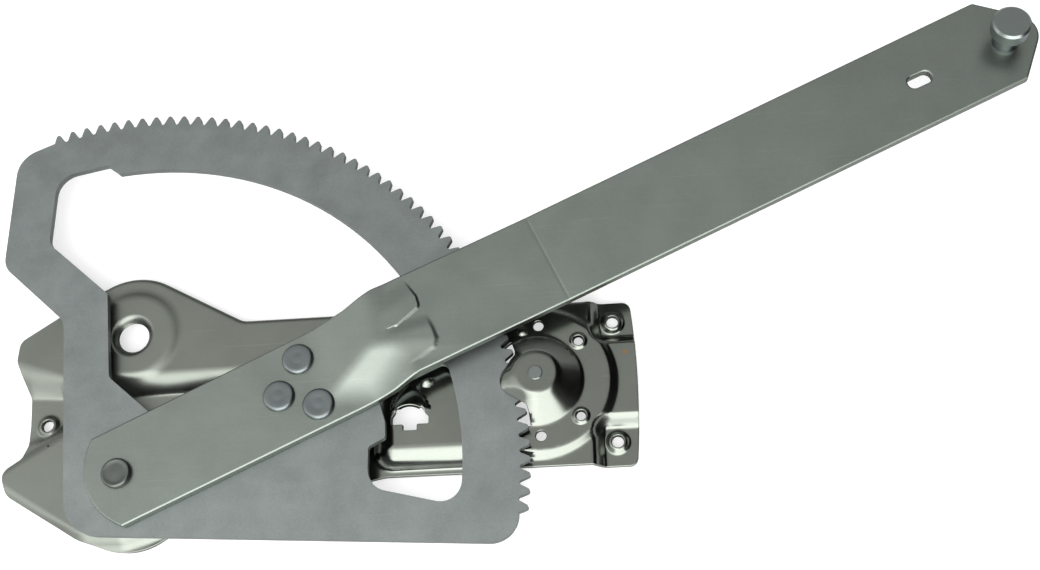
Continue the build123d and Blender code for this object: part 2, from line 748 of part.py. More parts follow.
def plate_forms():
    """All pressed forms of the base plate: the outer ones and the hollows under them."""
    height = MAIN_TOP - PLATE_THICK
    seat_radius = SPACER_RADIUS + SEAT_MARGIN
    hole = (BIG_HOLE_X, BIG_HOLE_Y)
    drive = (DRIVE_X, DRIVE_Y)
    pairs = [
        pressed_pair(upper_field(), MAIN_TOP, WALL_RUN, height, 0.0),
        pressed_pair(right_field(), MAIN_TOP, PAD_WALL_RUN, height, 0.0),
        pressed_pair(outline_face(PIVOT_FIELD), MAIN_TOP, WALL_RUN, height, 0.0),
        pressed_disc(*hole, EMBOSS_RADIUS, EMBOSS_TOP, MAIN_TOP, EMBOSS_WALL_RUN, PLATE_THICK),
        pressed_disc(0, 0, seat_radius, SEAT_TOP, MAIN_TOP, SEAT_WALL_RUN, PLATE_THICK),
        pressed_disc(*drive, RING_RADIUS, RING_TOP, MAIN_TOP, RING_WALL_RUN, PLATE_THICK),
        dome_pair(),
    ]
    return [pair[0] for pair in pairs], [pair[1] for pair in pairs]


def upper_lip(outline):
    """Turned-down lip along the plate's upper edge."""
    wall = extrude(outline, amount=MAIN_TOP) - extrude(offset(outline, amount=-LIP_THICK), amount=MAIN_TOP)
    left = BIG_HOLE_X - LIP_START
    right = DRIVE_X + PAD_EDGE_FROM_DRIVE
    low = PLATE_HIGH_Y - LIP_SLACK * LIP_THICK
    high = BIG_HOLE_Y + LIP_SLACK * LOBE_RADIUS
    middle = Pos((left + right) / 2, (low + high) / 2, MAIN_TOP / 2)
    return wall & (middle * Box(right - left, high - low, MAIN_TOP))


def plate_holes():
    """Everything that is cut through the pressed plate."""
    top = DOME_TOP + OVERCUT
    cuts = [disc(x, y, PANEL_HOLE_RADIUS, -OVERCUT, top) for x, y in panel_hole_spots()]
    for angle in (MOTOR_TAPPED_ANGLE, MOTOR_PLAIN_ANGLE):
        cuts += [disc(x, y, MOTOR_HOLE_RADIUS, -OVERCUT, top) for x, y in motor_hole_spots(angle)]
    wall_high = EMBOSS_TOP - BIG_HOLE_DEPTH + BIG_HOLE_WALL
    cuts.append(cone(BIG_HOLE_X, BIG_HOLE_Y, BIG_HOLE_RADIUS, BIG_HOLE_MOUTH, wall_high, EMBOSS_TOP))
    cuts.append(disc(BIG_HOLE_X, BIG_HOLE_Y, BIG_HOLE_RADIUS, -OVERCUT, wall_high))
    cuts.append(disc(0, 0, PIN_NECK_RADIUS, -OVERCUT, top))
    cuts.append(disc(DRIVE_X, DRIVE_Y, SPINDLE_NECK_RADIUS, -OVERCUT, top))
    cuts.append(guide_window())
    cuts.append(guide_hood()[1])
    return cuts


def plate_additions():
    """Collars, hole dimple, guide hood and small bosses."""
    collar_high = PLATE_THICK + PANEL_COLLAR_HEIGHT
    parts = [disc(x, y, PANEL_COLLAR_RADIUS, 0.0, collar_high) for x, y in panel_hole_spots()]
    ring_low = RING_TOP - PLATE_THICK
    ring_high = RING_TOP + MOTOR_COLLAR_HEIGHT
    for x, y in motor_hole_spots(MOTOR_TAPPED_ANGLE):
        parts.append(disc(x, y, MOTOR_COLLAR_RADIUS, ring_low, ring_high))
    low_radius = BIG_HOLE_RADIUS + BIG_HOLE_SKIN
    high_radius = BIG_HOLE_MOUTH + BIG_HOLE_SKIN
    dimple_low = EMBOSS_TOP - BIG_HOLE_DEPTH
    dimple_high = EMBOSS_TOP - PLATE_THICK
    parts.append(cone(BIG_HOLE_X, BIG_HOLE_Y, low_radius, high_radius, dimple_low, dimple_high))
    parts.append(guide_hood()[0])
    for x, y, level, radius, height in BOSSES:
        parts.append(cone(x, y, radius, radius * BOSS_TAPER, level - BOSS_ROOT, level + height))
    return parts


def make_base_plate():
    """Base plate pressed from one sheet, with its fields, ring, dome and threaded collars."""
    outline = plate_outline()
    outers, inners = plate_forms()
    plate = extrude(outline, amount=PLATE_THICK)
    for form in outers:
        plate += form
    plate &= extrude(outline, amount=2 * DOME_TOP)
    for hollow in inners:
        plate -= hollow
    plate += upper_lip(outline)
    for extra in plate_additions():
        plate += extra
    for cut in plate_holes():
        plate -= cut
    return plate - rim_slot()


def make_pivot_pin():
    """Shouldered pin: head over the arm, running shank, neck riveted under the plate."""
    shank_high = ARM_HIGH + PIN_END_PLAY
    pin = disc(0, 0, PIN_RADIUS, SEAT_TOP, shank_high)
    head = disc(0, 0, PIN_HEAD_RADIUS, shank_high, shank_high + PIN_HEAD_HEIGHT)
    pin += chamfer(head.edges().group_by(Axis.Z)[-1], PIN_HEAD_CHAMFER)
    plate_low = SEAT_TOP - PLATE_THICK
    pin += disc(0, 0, PIN_NECK_RADIUS, plate_low, SEAT_TOP)
    foot_low = plate_low - PIN_FOOT_HEIGHT
    return pin + cone(0, 0, PIN_FOOT_RADIUS - FOOT_TAPER, PIN_FOOT_RADIUS, foot_low, plate_low)


def make_pivot_bush():
    """Plain bush pressed into the arm and the sector, running on the pivot pin."""
    bush = disc(0, 0, BUSH_RADIUS, SECTOR_LOW, ARM_HIGH)
    return bush - disc(0, 0, PIN_RADIUS + PIN_RUNNING, SECTOR_LOW, ARM_HIGH)


def make_pivot_spacer():
    """Flat washer between the plate's seat and the sector."""
    spacer = disc(0, 0, SPACER_RADIUS, SEAT_TOP, SECTOR_LOW)
    return spacer - disc(0, 0, PIN_RADIUS + PIN_RUNNING, SEAT_TOP, SECTOR_LOW)


def make_arm_rivets():
    """Three rivets with round flat heads."""
    foot_low = SECTOR_LOW - RIVET_FOOT_HEIGHT
    rivets = []
    for u, v in RIVET_SPOTS:
        x, y = on_arm(u, v)
        head = disc(x, y, RIVET_HEAD_RADIUS, ARM_HIGH, ARM_HIGH + RIVET_HEAD_HEIGHT)
        rivet = chamfer(head.edges().group_by(Axis.Z)[-1], RIVET_HEAD_CHAMFER)
        rivet += disc(x, y, RIVET_RADIUS, SECTOR_LOW, ARM_HIGH)
        rivet += cone(x, y, RIVET_FOOT_RADIUS - FOOT_TAPER, RIVET_FOOT_RADIUS, foot_low, SECTOR_LOW)
        rivets.append(rivet)
    return Compound(children=rivets)


def at_stud(shape):
    """Shape moved from its own axes to the stud's place on the rising end of the arm."""
    height = OUTER_HIGH + (STUD_U - CREASE_U) * OUTER_SLOPE
    return Pos(STUD_U, STUD_V, height) * Rot(0, -OUTER_RISE_ANGLE, 0) * shape


def make_roller_stud():
    """Stud for the glass channel's slide, riveted through the arm's end."""
    head_low = STUD_HEIGHT - STUD_HEAD_THICK
    head = disc(0, 0, STUD_HEAD_RADIUS, head_low, STUD_HEIGHT)
    head = chamfer(head.edges().group_by(Axis.Z)[-1], STUD_TOP_CHAMFER)
    stud = chamfer(head.edges().group_by(Axis.Z)[0], STUD_LOW_CHAMFER)
    stud += disc(0, 0, STUD_RADIUS, 0, head_low)
    stud += disc(0, 0, STUD_COLLAR_RADIUS, 0, STUD_COLLAR_HEIGHT)
    stud += disc(0, 0, STUD_SHANK_RADIUS, -ARM_THICK, 0)
    foot_low = -ARM_THICK - STUD_FOOT_HEIGHT
    stud += cone(0, 0, STUD_FOOT_RADIUS - FOOT_TAPER, STUD_FOOT_RADIUS, foot_low, -ARM_THICK)
    return Rot(0, 0, ARM_ANGLE) * at_stud(stud)


def pinion_profile():
    """Involute outline of the pinion, turned so that it meshes with the sector."""
    base = PINION_PITCH_RADIUS * cos(radians(PRESSURE_ANGLE))
    tip = PINION_PITCH_RADIUS + PINION_ADDENDUM
    root = PINION_PITCH_RADIUS - PINION_DEDENDUM
    pitch = 360.0 / PINION_TEETH
    nearest = FIRST_TOOTH_ANGLE - round((FIRST_TOOTH_ANGLE - DRIVE_ANGLE) / TOOTH_ANGLE) * TOOTH_ANGLE
    turns = SECTOR_FULL_TEETH / PINION_TEETH
    space = DRIVE_ANGLE + 180.0 - turns * (nearest - DRIVE_ANGLE)
    steps = [base + (tip - base) * share for share in (0.0, 0.2, 0.5, 1.0)]
    edges = []
    for index in range(PINION_TEETH):
        centre = space + pitch / 2 + index * pitch
        half = [half_tooth_angle(r, PINION_PITCH_RADIUS) for r in steps]
        rising = [polar(r, centre - h) for r, h in zip(steps, half)]
        falling = [polar(r, centre + h) for r, h in reversed(list(zip(steps, half)))]
        foot = half[0]
        next_foot = polar(root, centre + pitch - foot)
        edges.append(Line(polar(root, centre - foot), rising[0]))
        edges.append(Spline(*rising))
        edges.append(ThreePointArc(rising[-1], polar(tip, centre), falling[0]))
        edges.append(Spline(*falling))
        edges.append(Line(falling[-1], polar(root, centre + foot)))
        edges.append(ThreePointArc(polar(root, centre + foot), polar(root, centre + pitch / 2), next_foot))
    return make_face(Wire(edges))


def make_drive_pinion():
    """Eight tooth pinion with a rear hub, whose keyed socket takes the motor's shaft."""
    pinion = extrude(pinion_profile(), amount=PINION_HIGH - PINION_LOW)
    pinion = Pos(0, 0, PINION_LOW) * pinion
    pinion += disc(0, 0, HUB_RADIUS, 0, PINION_LOW)
    pinion += disc(0, 0, PINION_BOSS_RADIUS, PINION_HIGH, BOSS_HIGH)
    pinion -= disc(0, 0, SPINDLE_RADIUS + SPINDLE_RUNNING + PINION_BUSH_WALL, PINION_BUSH_LOW, BOSS_HIGH)
    pinion -= disc(0, 0, CLIP_ROOM_RADIUS, SOCKET_DEPTH, PINION_BUSH_LOW)
    pinion -= disc(0, 0, SOCKET_RADIUS, 0, SOCKET_DEPTH)
    key = Box(2 * (SOCKET_RADIUS + KEY_DEPTH), KEY_WIDTH, SOCKET_DEPTH)
    pinion -= Pos(0, 0, SOCKET_DEPTH / 2) * key
    return Pos(DRIVE_X, DRIVE_Y, 0) * pinion


def make_pinion_bush():
    """Bush pressed into the pinion, running on the spindle."""
    bore = SPINDLE_RADIUS + SPINDLE_RUNNING
    bush = disc(DRIVE_X, DRIVE_Y, bore + PINION_BUSH_WALL, PINION_BUSH_LOW, BOSS_HIGH)
    return bush - disc(DRIVE_X, DRIVE_Y, bore, PINION_BUSH_LOW, BOSS_HIGH)


def clip_levels():
    """Low and high face of the clip under the pinion's bush."""
    high = PINION_BUSH_LOW - PINION_END_PLAY / 2
    return high - CLIP_THICK, high


def make_pinion_spindle():
    """Spindle riveted into the dome's top, with a groove for its clip."""
    clip_low, clip_high = clip_levels()
    x, y = DRIVE_X, DRIVE_Y
    spindle = disc(x, y, SPINDLE_RADIUS, clip_low - SPINDLE_TAIL, DOME_INSIDE)
    spindle += disc(x, y, SPINDLE_NECK_RADIUS, DOME_INSIDE, DOME_TOP)
    cap_high = DOME_TOP + SPINDLE_CAP_HEIGHT
    spindle += cone(x, y, SPINDLE_CAP_RADIUS, SPINDLE_CAP_RADIUS - SPINDLE_CAP_TAPER, DOME_TOP, cap_high)
    groove = disc(x, y, SPINDLE_RADIUS, clip_low, clip_high)
    groove -= disc(x, y, SPINDLE_RADIUS - CLIP_GROOVE_DEPTH, clip_low, clip_high)
    return spindle - groove


def make_spindle_clip():
    """Open snap ring in the spindle's groove."""
    low, high = clip_levels()
    inner = SPINDLE_RADIUS - CLIP_GROOVE_DEPTH
    clip = disc(0, 0, CLIP_RADIUS, low, high) - disc(0, 0, inner, low, high)
    clip -= Pos(CLIP_RADIUS, 0, (low + high) / 2) * Box(2 * CLIP_RADIUS, CLIP_GAP, 2 * CLIP_THICK)
    return Pos(DRIVE_X, DRIVE_Y, 0) * clip


def make_thrust_washer():
    """Washer between the pinion's boss and the inside of the dome."""
    low = BOSS_HIGH + PINION_END_PLAY
    washer = disc(DRIVE_X, DRIVE_Y, WASHER_RADIUS, low, DOME_INSIDE)
    return washer - disc(DRIVE_X, DRIVE_Y, SPINDLE_RADIUS + SPINDLE_RUNNING, low, DOME_INSIDE)


PIECES = {
    "base_plate": make_base_plate,
    "sector_gear": make_sector,
    "lift_arm": make_arm,
    "arm_rivets": make_arm_rivets,
    "pivot_pin": make_pivot_pin,
    "pivot_bush": make_pivot_bush,
    "pivot_spacer": make_pivot_spacer,
    "roller_stud": make_roller_stud,
    "drive_pinion": make_drive_pinion,
    "pinion_bush": make_pinion_bush,
    "pinion_spindle": make_pinion_spindle,
    "spindle_clip": make_spindle_clip,
    "thrust_washer": make_thrust_washer,
}


def main():
    """Build every piece and write it, moved so that the drive axis is the origin."""
    os.makedirs("parts", exist_ok=True)
    to_drive = Pos(-DRIVE_X, -DRIVE_Y, 0)
    for name, make in PIECES.items():
        export_step(to_drive * make(), f"parts/{name}.step")


main()
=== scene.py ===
import json
from math import acos, asin, atan2, cos, degrees, hypot, pi, radians, sin, tan

import bpy
import numpy as np
from mathutils import Matrix, Vector
from mathutils.geometry import delaunay_2d_cdt


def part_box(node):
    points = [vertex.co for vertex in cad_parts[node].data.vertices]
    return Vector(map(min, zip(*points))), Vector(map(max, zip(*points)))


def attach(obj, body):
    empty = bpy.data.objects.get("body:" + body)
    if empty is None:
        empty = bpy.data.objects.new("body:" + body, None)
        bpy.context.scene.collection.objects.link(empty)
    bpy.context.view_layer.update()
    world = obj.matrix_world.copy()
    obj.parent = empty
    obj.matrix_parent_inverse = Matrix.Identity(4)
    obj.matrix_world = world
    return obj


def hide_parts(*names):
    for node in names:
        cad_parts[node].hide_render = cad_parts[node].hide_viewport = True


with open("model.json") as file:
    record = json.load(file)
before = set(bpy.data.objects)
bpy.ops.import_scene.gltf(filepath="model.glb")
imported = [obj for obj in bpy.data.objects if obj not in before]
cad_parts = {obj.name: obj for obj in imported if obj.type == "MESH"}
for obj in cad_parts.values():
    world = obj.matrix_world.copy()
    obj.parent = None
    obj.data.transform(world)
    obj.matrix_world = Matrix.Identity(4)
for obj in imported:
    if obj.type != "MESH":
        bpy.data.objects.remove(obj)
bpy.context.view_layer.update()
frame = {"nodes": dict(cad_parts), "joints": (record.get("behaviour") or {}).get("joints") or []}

# Window regulator lying flat: pressed base plate, toothed sector, cranked arm with a stud.
# Plan places are millimetres from the pivot axis, heights are from the panel's face.
# Corner rows hold X, Y and the corner's radius. A run is a slope's width, blends round its shoulders.

MM = 0.001
JOINTS = {joint["name"]: joint for joint in frame["joints"]}
PIVOT_X = JOINTS["sector_swing"]["pos_m"][0] / MM
PIVOT_Y = JOINTS["sector_swing"]["pos_m"][1] / MM
DRIVE_X = -PIVOT_X
DRIVE_Y = -PIVOT_Y

# Levels and thicknesses
PLATE_THICK = 2.0
DOME_THICK = 1.5
ARM_THICK = 4.0
MAIN_TOP = 7.5
RING_RISE = 2.0
RING_TOP = MAIN_TOP + RING_RISE
SEAT_RISE = 3.5
EMBOSS_RISE = 1.0
DOME_TOP = 19.0
RIVET_HEAD = 2.0
ARM_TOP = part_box("arm_rivets")[1].z / MM - RIVET_HEAD
ARM_LIFT = 5.5

# Base plate: outline, large hole, pivot seat and turned-down lip
PLATE_LOW_Y = -2.0
PLATE_HIGH_Y = 66.4
PLATE_RIGHT_X = DRIVE_X + 37.8
PLATE_BULGE = 1.8
PLATE_CORNER = 3.5
SKIRT_RADIUS = 27.7
SKIRT_START_ANGLE = 248.0
SKIRT_END_ANGLE = 300.0
LOWER_BENDS = [(24.0, -18.5, 15.0), (103.0, PLATE_LOW_Y, 20.0)]
UPPER_BEND = (43.0, PLATE_HIGH_Y, 8.0)
HOLE_X = -3.6
HOLE_Y = 61.7
HOLE_RADIUS = 6.1
DISH_RADIUS = 6.2
DISH_RUN = 2.2
DISH_DEPTH = 3.1
DISH_BLENDS = (0.5, 1.0)
EMBOSS_RADIUS = 17.4
EMBOSS_RUN = 2.8
EMBOSS_BLEND = 1.4
SEAT_RADIUS = 15.0
SEAT_RUN = 3.0
SEAT_BLEND = 1.0
LOBE_RADIUS = 26.5
LOBE_START_ANGLE = 61.3
LOBE_END_ANGLE = 122.0
LIP_BEND = 2.4
LIP_DEPTH = 7.0
LIP_RUN = 0.3
LIP_BLEND = 0.08
LIP_FADE = 4.0
LIP_LEFT = -21.0
LIP_RIGHT = 188.0
LIP_LOW = 62.0
LEFT_LOBES = [
    (-52.2, 62.0, 5.0),
    (-52.7, 53.5, 6.0),
    (-46.6, 38.0, 9.0),
    (-45.6, 26.5, 30.0),
    (-45.4, 11.8, 2.5),
    (-53.6, 6.2, 5.0),
    (-50.6, -3.6, 6.0),
    (-19.0, -22.9, 20.0),
]

# Raised fields, drawn past the plate's edge where they run out over it
PAST_LEFT_X = -82.5
PAST_RIGHT_X = 232.6
PAST_LOW_Y = -31.2
PAST_HIGH_Y = 96.4
STEP_X = 103.5
STEP_LOW_Y = 5.3
RIGHT_START_X = DRIVE_X - 14.0
PAD_START_X = DRIVE_X + 21.4
PAD_GAP_HALF = 15.0
UPPER_FIELD = [
    (PAST_LEFT_X, 61.1, 0.0),
    (-30.0, 42.0, 14.0),
    (STEP_X, 43.2, 9.0),
    (STEP_X, STEP_LOW_Y, 3.5),
    (DRIVE_X, STEP_LOW_Y, 0.0),
    (DRIVE_X, PAST_HIGH_Y, 0.0),
    (PAST_LEFT_X, PAST_HIGH_Y, 0.0),
]
RIGHT_FIELD = [
    (RIGHT_START_X, PAST_LOW_Y, 0.0),
    (PAD_START_X, PAST_LOW_Y, 0.0),
    (PAD_START_X, DRIVE_Y - PAD_GAP_HALF, 6.0),
    (PAST_RIGHT_X, DRIVE_Y - PAD_GAP_HALF, 0.0),
    (PAST_RIGHT_X, DRIVE_Y + PAD_GAP_HALF, 0.0),
    (PAD_START_X, DRIVE_Y + PAD_GAP_HALF, 6.0),
    (PAD_START_X, PAST_HIGH_Y, 0.0),
    (RIGHT_START_X, PAST_HIGH_Y, 0.0),
]
PIVOT_FIELD = [
    (-58.7, 3.2, 0.0),
    (-42.6, 13.0, 4.0),
    (-24.0, 23.6, 9.0),
    (-2.0, 24.0, 12.0),
    (24.0, 13.0, 20.0),
    (64.0, 9.0, 4.5),
    (64.0, -1.5, 4.5),
    (6.5, -19.8, 10.0),
    (-1.2, -22.0, 8.0),
    (-18.2, -21.5, 12.0),
]
FIELD_JOIN = 0.12
WALL_RUN = 6.5
WALL_BLENDS = (2.4, 1.8)
SKIRT_START_Y = -12.0
SKIRT_SPAN = 6.0
SKIRT_RUN_LOSS = 2.0
UPPER_RUN = 5.4
UPPER_BLENDS = (4.0, 0.9)
LEFT_RUN_START_X = -33.0
LEFT_RUN_SPAN = 13.0
LEFT_RUN_GAIN = 4.0
PAD_WALL_RUN = 4.2
PAD_WALL_BLEND = 1.1

# Motor ring, and the dome whose nose points to the pivot
RING_RADIUS = 29.3
RING_FLAT_RADIUS = RING_RADIUS - 0.3
RING_RUN = 2.8
RING_BLEND = 1.0
DOME_FLAT_RADIUS = 8.7
DOME_BASE_RADIUS = 18.7
DOME_BLENDS = (1.6, 1.0)
NOSE_OFFSET = 8.0
NOSE_TOP = 17.6
NOSE_TOP_RADIUS = 4.5
NOSE_BASE_RADIUS = 13.0
NOSE_BLENDS = (2.2, 1.0)
NOSE_JOIN = 1.2

# Slot in the dome for the sector's rim
SLOT_TOP = 15.6
SLOT_FOOT = RING_TOP + 0.35
SLOT_HALF_ANGLE = 118.0
SLOT_STEPS = 60
SLOT_LEAST = 0.4
SLOT_TRIM = 0.05
SEARCH_START = 0.5
SEARCH_TOP = 26.0
SEARCH_FOOT = 30.0
SEARCH_POINTS = 400
SECTOR_TIP = 161.8
SLOT_GAP = 0.6

# Small stamped bumps, threaded holes with collars, plain holes
BUMP_BLEND = 0.5
BUMPS = [
    {"x": 119.8, "y": 36.0, "radius": 2.2, "height": 1.1},
    {"x": 159.2, "y": 53.6, "radius": 1.6, "height": 0.8},
]
PANEL_REACH = 30.5
PANEL_HALF = 25.0
PANEL_HOLES = [
    (DRIVE_X + PANEL_REACH, DRIVE_Y - PANEL_HALF),
    (DRIVE_X + PANEL_REACH, DRIVE_Y + PANEL_HALF),
    (-37.6, 25.8),
]
PANEL_COLLAR = {"radius": 3.3, "run": 1.5, "rise": 1.8, "blend": 0.6}
MOTOR_COLLAR = {"radius": 2.7, "run": 0.9, "rise": 0.8, "blend": 0.4}
PANEL_HOLE_RADIUS = 2.5
MOTOR_CIRCLE = 22.9
TAPPED_ANGLE = 42.8
PLAIN_ANGLE = 87.5
MOTOR_HOLE_RADIUS = 2.1

# Cable guide: a notched window under a hood
WINDOW_X = 113.6
WINDOW_Y = 17.8
WINDOW_HALF = 7.4
WINDOW_SIDE = 3.0
WINDOW_ARC_RADIUS = 8.8
WINDOW_ARC_BELOW = 4.8
WINDOW_ARC_START = 48.0
WINDOW_ARC_END = 132.0
NOTCH_HALF = 2.7
NOTCH_DEPTH = 2.5
HOOD_FOOT = 6.0
HOOD_LENGTH = 11.0
HOOD_HALF = 7.6
HOOD_RISE = 3.4
HOOD_MOUTH = 0.6
HOOD_TIP_HALF = 0.4
HOOD_NARROWING = 1.6
HOOD_FALL = 0.7

# Meshes of the sheets: steps between points, gaps between points and edges, guide lines
LOOP_SHARE = 0.8
EDGE_GAP_SHARE = 0.45
GUIDE_GAP_SHARE = 0.5
GUIDE_OUTER_GAP = 0.02
GUIDE_INNER_GAP = 0.3
GUIDE_SPACING = 0.8
FINE_GUIDE_SPACING = 0.5
SLOPE_STEP = 0.05
LATHE_STEPS = 64
LATHE_SOFT_COSINE = 0.5
PLATE_RIM = 0.35
PLATE_SPACING = 0.9
LIP_GUIDE_MARGIN = 1.0
LIP_GUIDES = (0.45, 0.6, 0.8, 1.1, 1.5, 2.0, 2.6)
HOLE_GUIDES = (6.9, 7.5, 8.2, 9.0, 9.8)
PANEL_GUIDES = (3.1, 3.6, 4.1, 4.6, 5.2, 5.8)
MOTOR_GUIDES = (2.9, 3.2, 3.6, 4.0)
RING_GUIDES = (-0.5, 0.5, 1.6, 2.6)

# Arm on its own axes: U from the pivot, V across
ARM_ANGLE = radians(24.3)
ARM_HALF = 20.2
ARM_ROOT_U = -5.0
ARM_EDGE = [
    (ARM_ROOT_U, -ARM_HALF - 0.4, 0.0),
    (112.0, -ARM_HALF, 20.0),
    (124.0, 1.6 - ARM_HALF, 12.0),
    (188.5, 1.0 - ARM_HALF, 0.0),
    (393.0, -ARM_HALF - 1.1, 0.6),
    (413.2, -1.8, 10.0),
    (393.0, ARM_HALF - 0.8, 0.6),
    (188.5, ARM_HALF + 1.2, 0.0),
    (136.0, ARM_HALF + 1.8, 30.0),
    (120.0, ARM_HALF + 1.9, 14.0),
    (106.0, ARM_HALF - 0.2, 12.0),
    (ARM_ROOT_U, ARM_HALF - 1.8, 0.0),
]
ARM_ROOT_BULGE = 8.3
JOGGLE_START = 104.0
JOGGLE_END = 121.0
JOGGLE_BLENDS = (2.4, 4.0)
CREASE_U = 188.5
CREASE_DEPTH = 0.09
CREASE_HALF = 0.7
CREASE_BLEND = 1.0
RISE_SLOPE = tan(radians(1.5))

# Ridge up the joggle: a place on its crest, its direction, its rise along and its falls to both sides
RIDGE = {"u": 86.8, "v": -9.4, "turn": radians(21.0), "rise": 0.245, "front": 0.24, "back": 0.15}
RIDGE_CREST_BLEND = 1.0
RIDGE_FOOT_BLEND = 1.8
TOP_BLEND = 0.9
NEAR_END = 136.0
NEAR_FADE = 20.0

# Finger marks beyond the joggle: outline, run of its edge, and a slanted line past which it fades out
MARK_RISE = 0.8
MARK_START = 119.0
MARK_RUN = 6.0
MARK_BLEND = 2.5
FINGER_BLEND = 0.3
FINGER_FADE_BLEND = 1.5
FINGERS = [
    {
        "rows": [
            (110.0, 3.4, 0.0),
            (123.2, 3.0, 0.8),
            (134.0, 6.4, 1.5),
            (134.6, 10.5, 4.0),
            (133.2, 17.5, 6.0),
            (126.0, 40.0, 0.0),
            (110.0, 40.0, 0.0),
        ],
        "run": 0.7,
        "line": (133.0, 12.0, radians(8.0)),
        "fade": 7.0,
        "guides": (2.0, 19.0),
    },
    {
        "rows": [
            (110.0, 12.0, 0.0),
            (134.4, 12.0, 0.0),
            (134.8, -5.0, 3.0),
            (134.4, -9.0, 2.0),
            (132.4, -11.6, 1.2),
            (118.0, -13.4, 4.0),
            (110.0, -13.4, 0.0),
        ],
        "run": 1.6,
        "line": (123.4, -0.6, radians(-13.0)),
        "fade": 4.6,
        "guides": (-16.5, 2.0),
    },
]
GLASS_SLOT = [(351.0, -3.6, 2.6), (361.0, -3.9, 2.6), (361.0, 1.6, 2.6), (351.0, 1.9, 2.6)]
ARM_RIM = 0.8
ARM_SPACING = 0.9
FINGER_GUIDES = (-0.3, 0.0, 0.4, 0.8, 1.2)

# Turned pieces: rows hold radius and height from the arm's upper face
RIVET_SPOTS = [(81.8, 10.6), (69.3, -0.3), (82.3, -10.7)]
RIVET_ROWS = [
    (0.0, 1.80), (1.6, 1.79), (2.3, 1.74), (3.0, 1.79), (4.8, 1.83), (5.4, 1.80), (5.85, 1.62),
    (6.15, 1.30), (6.35, 0.85), (6.4, 0.35), (6.3, 0.05), (6.0, 0.0), (4.2, 0.0), (4.2, -7.0),
    (5.7, -7.0), (5.8, -7.1), (5.1, -8.2), (4.9, -8.3), (0.0, -8.3),
]
PIN_ROWS = [
    (0.0, 2.28), (1.6, 2.26), (3.4, 2.16), (4.2, 2.2), (4.8, 2.36), (5.2, 2.40), (5.6, 2.25),
    (5.85, 1.9), (6.0, 1.4), (6.0, 0.35), (5.9, 0.1), (5.6, 0.05), (4.0, 0.05), (4.0, -8.0),
    (3.2, -8.0), (3.2, -10.0), (5.4, -10.0), (5.5, -10.1), (4.9, -11.3), (4.7, -11.5), (0.0, -11.5),
]

# Patterns of the metals, with scales per metre
CLOUD_SCALE = 45.0
CLOUD_DETAIL = 6.0
CLOUD_HARDNESS = 0.6
CLOUD_ROUGHNESS = 0.25
SPECK_SCALE = 900.0
SPECK_DETAIL = 3.0
LINE_SCALE = (30.0, 1500.0, 30.0)
LINE_DETAIL = 4.0
RELIEF_STRENGTH = 0.02
RELIEF_DEPTH = 0.0002
SCRATCH_DETAIL = 1.0
SCRATCH_FADE = 0.05
SCRATCHES = [
    {"turn": 0.06, "scale": (22.0, 1400.0, 20.0), "least": 0.72, "gain": 1.0},
    {"turn": 0.5, "scale": (40.0, 900.0, 20.0), "least": 0.745, "gain": 0.7},
]
DULL_FROM_X = -0.05
DULL_TO_X = -0.13
RUST = (0.30, 0.19, 0.09)
DIRT = (0.04, 0.04, 0.035)
STAIN_FADE = (1.6, 0.9)
STAINS = [
    {"x": 35.1, "y": 10.6, "size": 1.3, "colour": RUST},
    {"x": -199.5, "y": -16.5, "size": 0.7, "colour": DIRT},
]

# Surroundings: levels of light, and between which values of a direction each part of them fades in
WORLD_PLAIN = 0.83
WORLD_FRONT = 3.9
FRONT_FADE = (-0.08, 0.28)
FRONT_LEFT_FADE = (0.1, 0.6)
FRONT_LEFT_LOSS = 0.7
FRONT_GAP_X = (-0.15, 0.12)
FRONT_GAP_Y = (-0.45, -0.25)
FRONT_GAP_LOSS = 0.8
WORLD_SOFT = 0.7
SOFT_LEFT_FADE = (-0.08, 0.25)
SOFT_Y = (0.34, 0.15)
RIGHT_FALL = 0.25
RIGHT_LEAN = 0.35
RIGHT_FADE = (0.32, 0.5)
RIGHT_LOSS = 0.985
BACK_FADE = (0.58, 0.88)
BACK_LOSS = 0.7
CORNER_LEFT_FADE = (0.42, 0.6)
CORNER_Y = (-0.2, -0.35)
CORNER_LOSS = 0.6

# Camera, floor and the rounded edges of CAD nodes
CAMERA_EYE = (42.29, -173.85, 515.92)
CAMERA_AIM = (-5.505, 38.939, 15.0)
CAMERA_ROLL = 1.243
CAMERA_LENS = 46.88
CAMERA_SENSOR = 36.0
CAMERA_NEAR = 0.01
FLOOR_HALF = 3.0
FLOOR_LEVEL = -0.0006
FLOOR_GREY = 0.52
FLOOR_GLOW = 0.6
BEVEL_ANGLE = 35.0
BEVEL_SEGMENTS = 2


# Plain geometry
def rounded(rows, steps=8):
    """Points of a closed outline whose corner rows are rounded."""
    points = []
    count = len(rows)
    for i, (x, y, radius) in enumerate(rows):
        here = np.array((x, y))
        if radius <= 0:
            points.append(here)
            continue
        back = np.array(rows[i - 1][:2]) - here
        ahead = np.array(rows[(i + 1) % count][:2]) - here
        back /= np.linalg.norm(back)
        ahead /= np.linalg.norm(ahead)
        half = acos(max(-1.0, min(1.0, float(back @ ahead)))) / 2
        reach = radius / tan(half)
        bisector = (back + ahead) / np.linalg.norm(back + ahead)
        centre = here + bisector * radius / sin(half)
        start = here + back * reach - centre
        end = here + ahead * reach - centre
        first = atan2(start[1], start[0])
        turn = (atan2(end[1], end[0]) - first + pi) % (2 * pi) - pi
        for k in range(steps + 1):
            angle = first + turn * k / steps
            points.append(centre + radius * np.array((cos(angle), sin(angle))))
    return np.array(points)


def circle(x, y, radius, steps):
    """Points of a circle."""
    angles = np.arange(steps) * 2 * pi / steps
    return np.column_stack((x + radius * np.cos(angles), y + radius * np.sin(angles)))


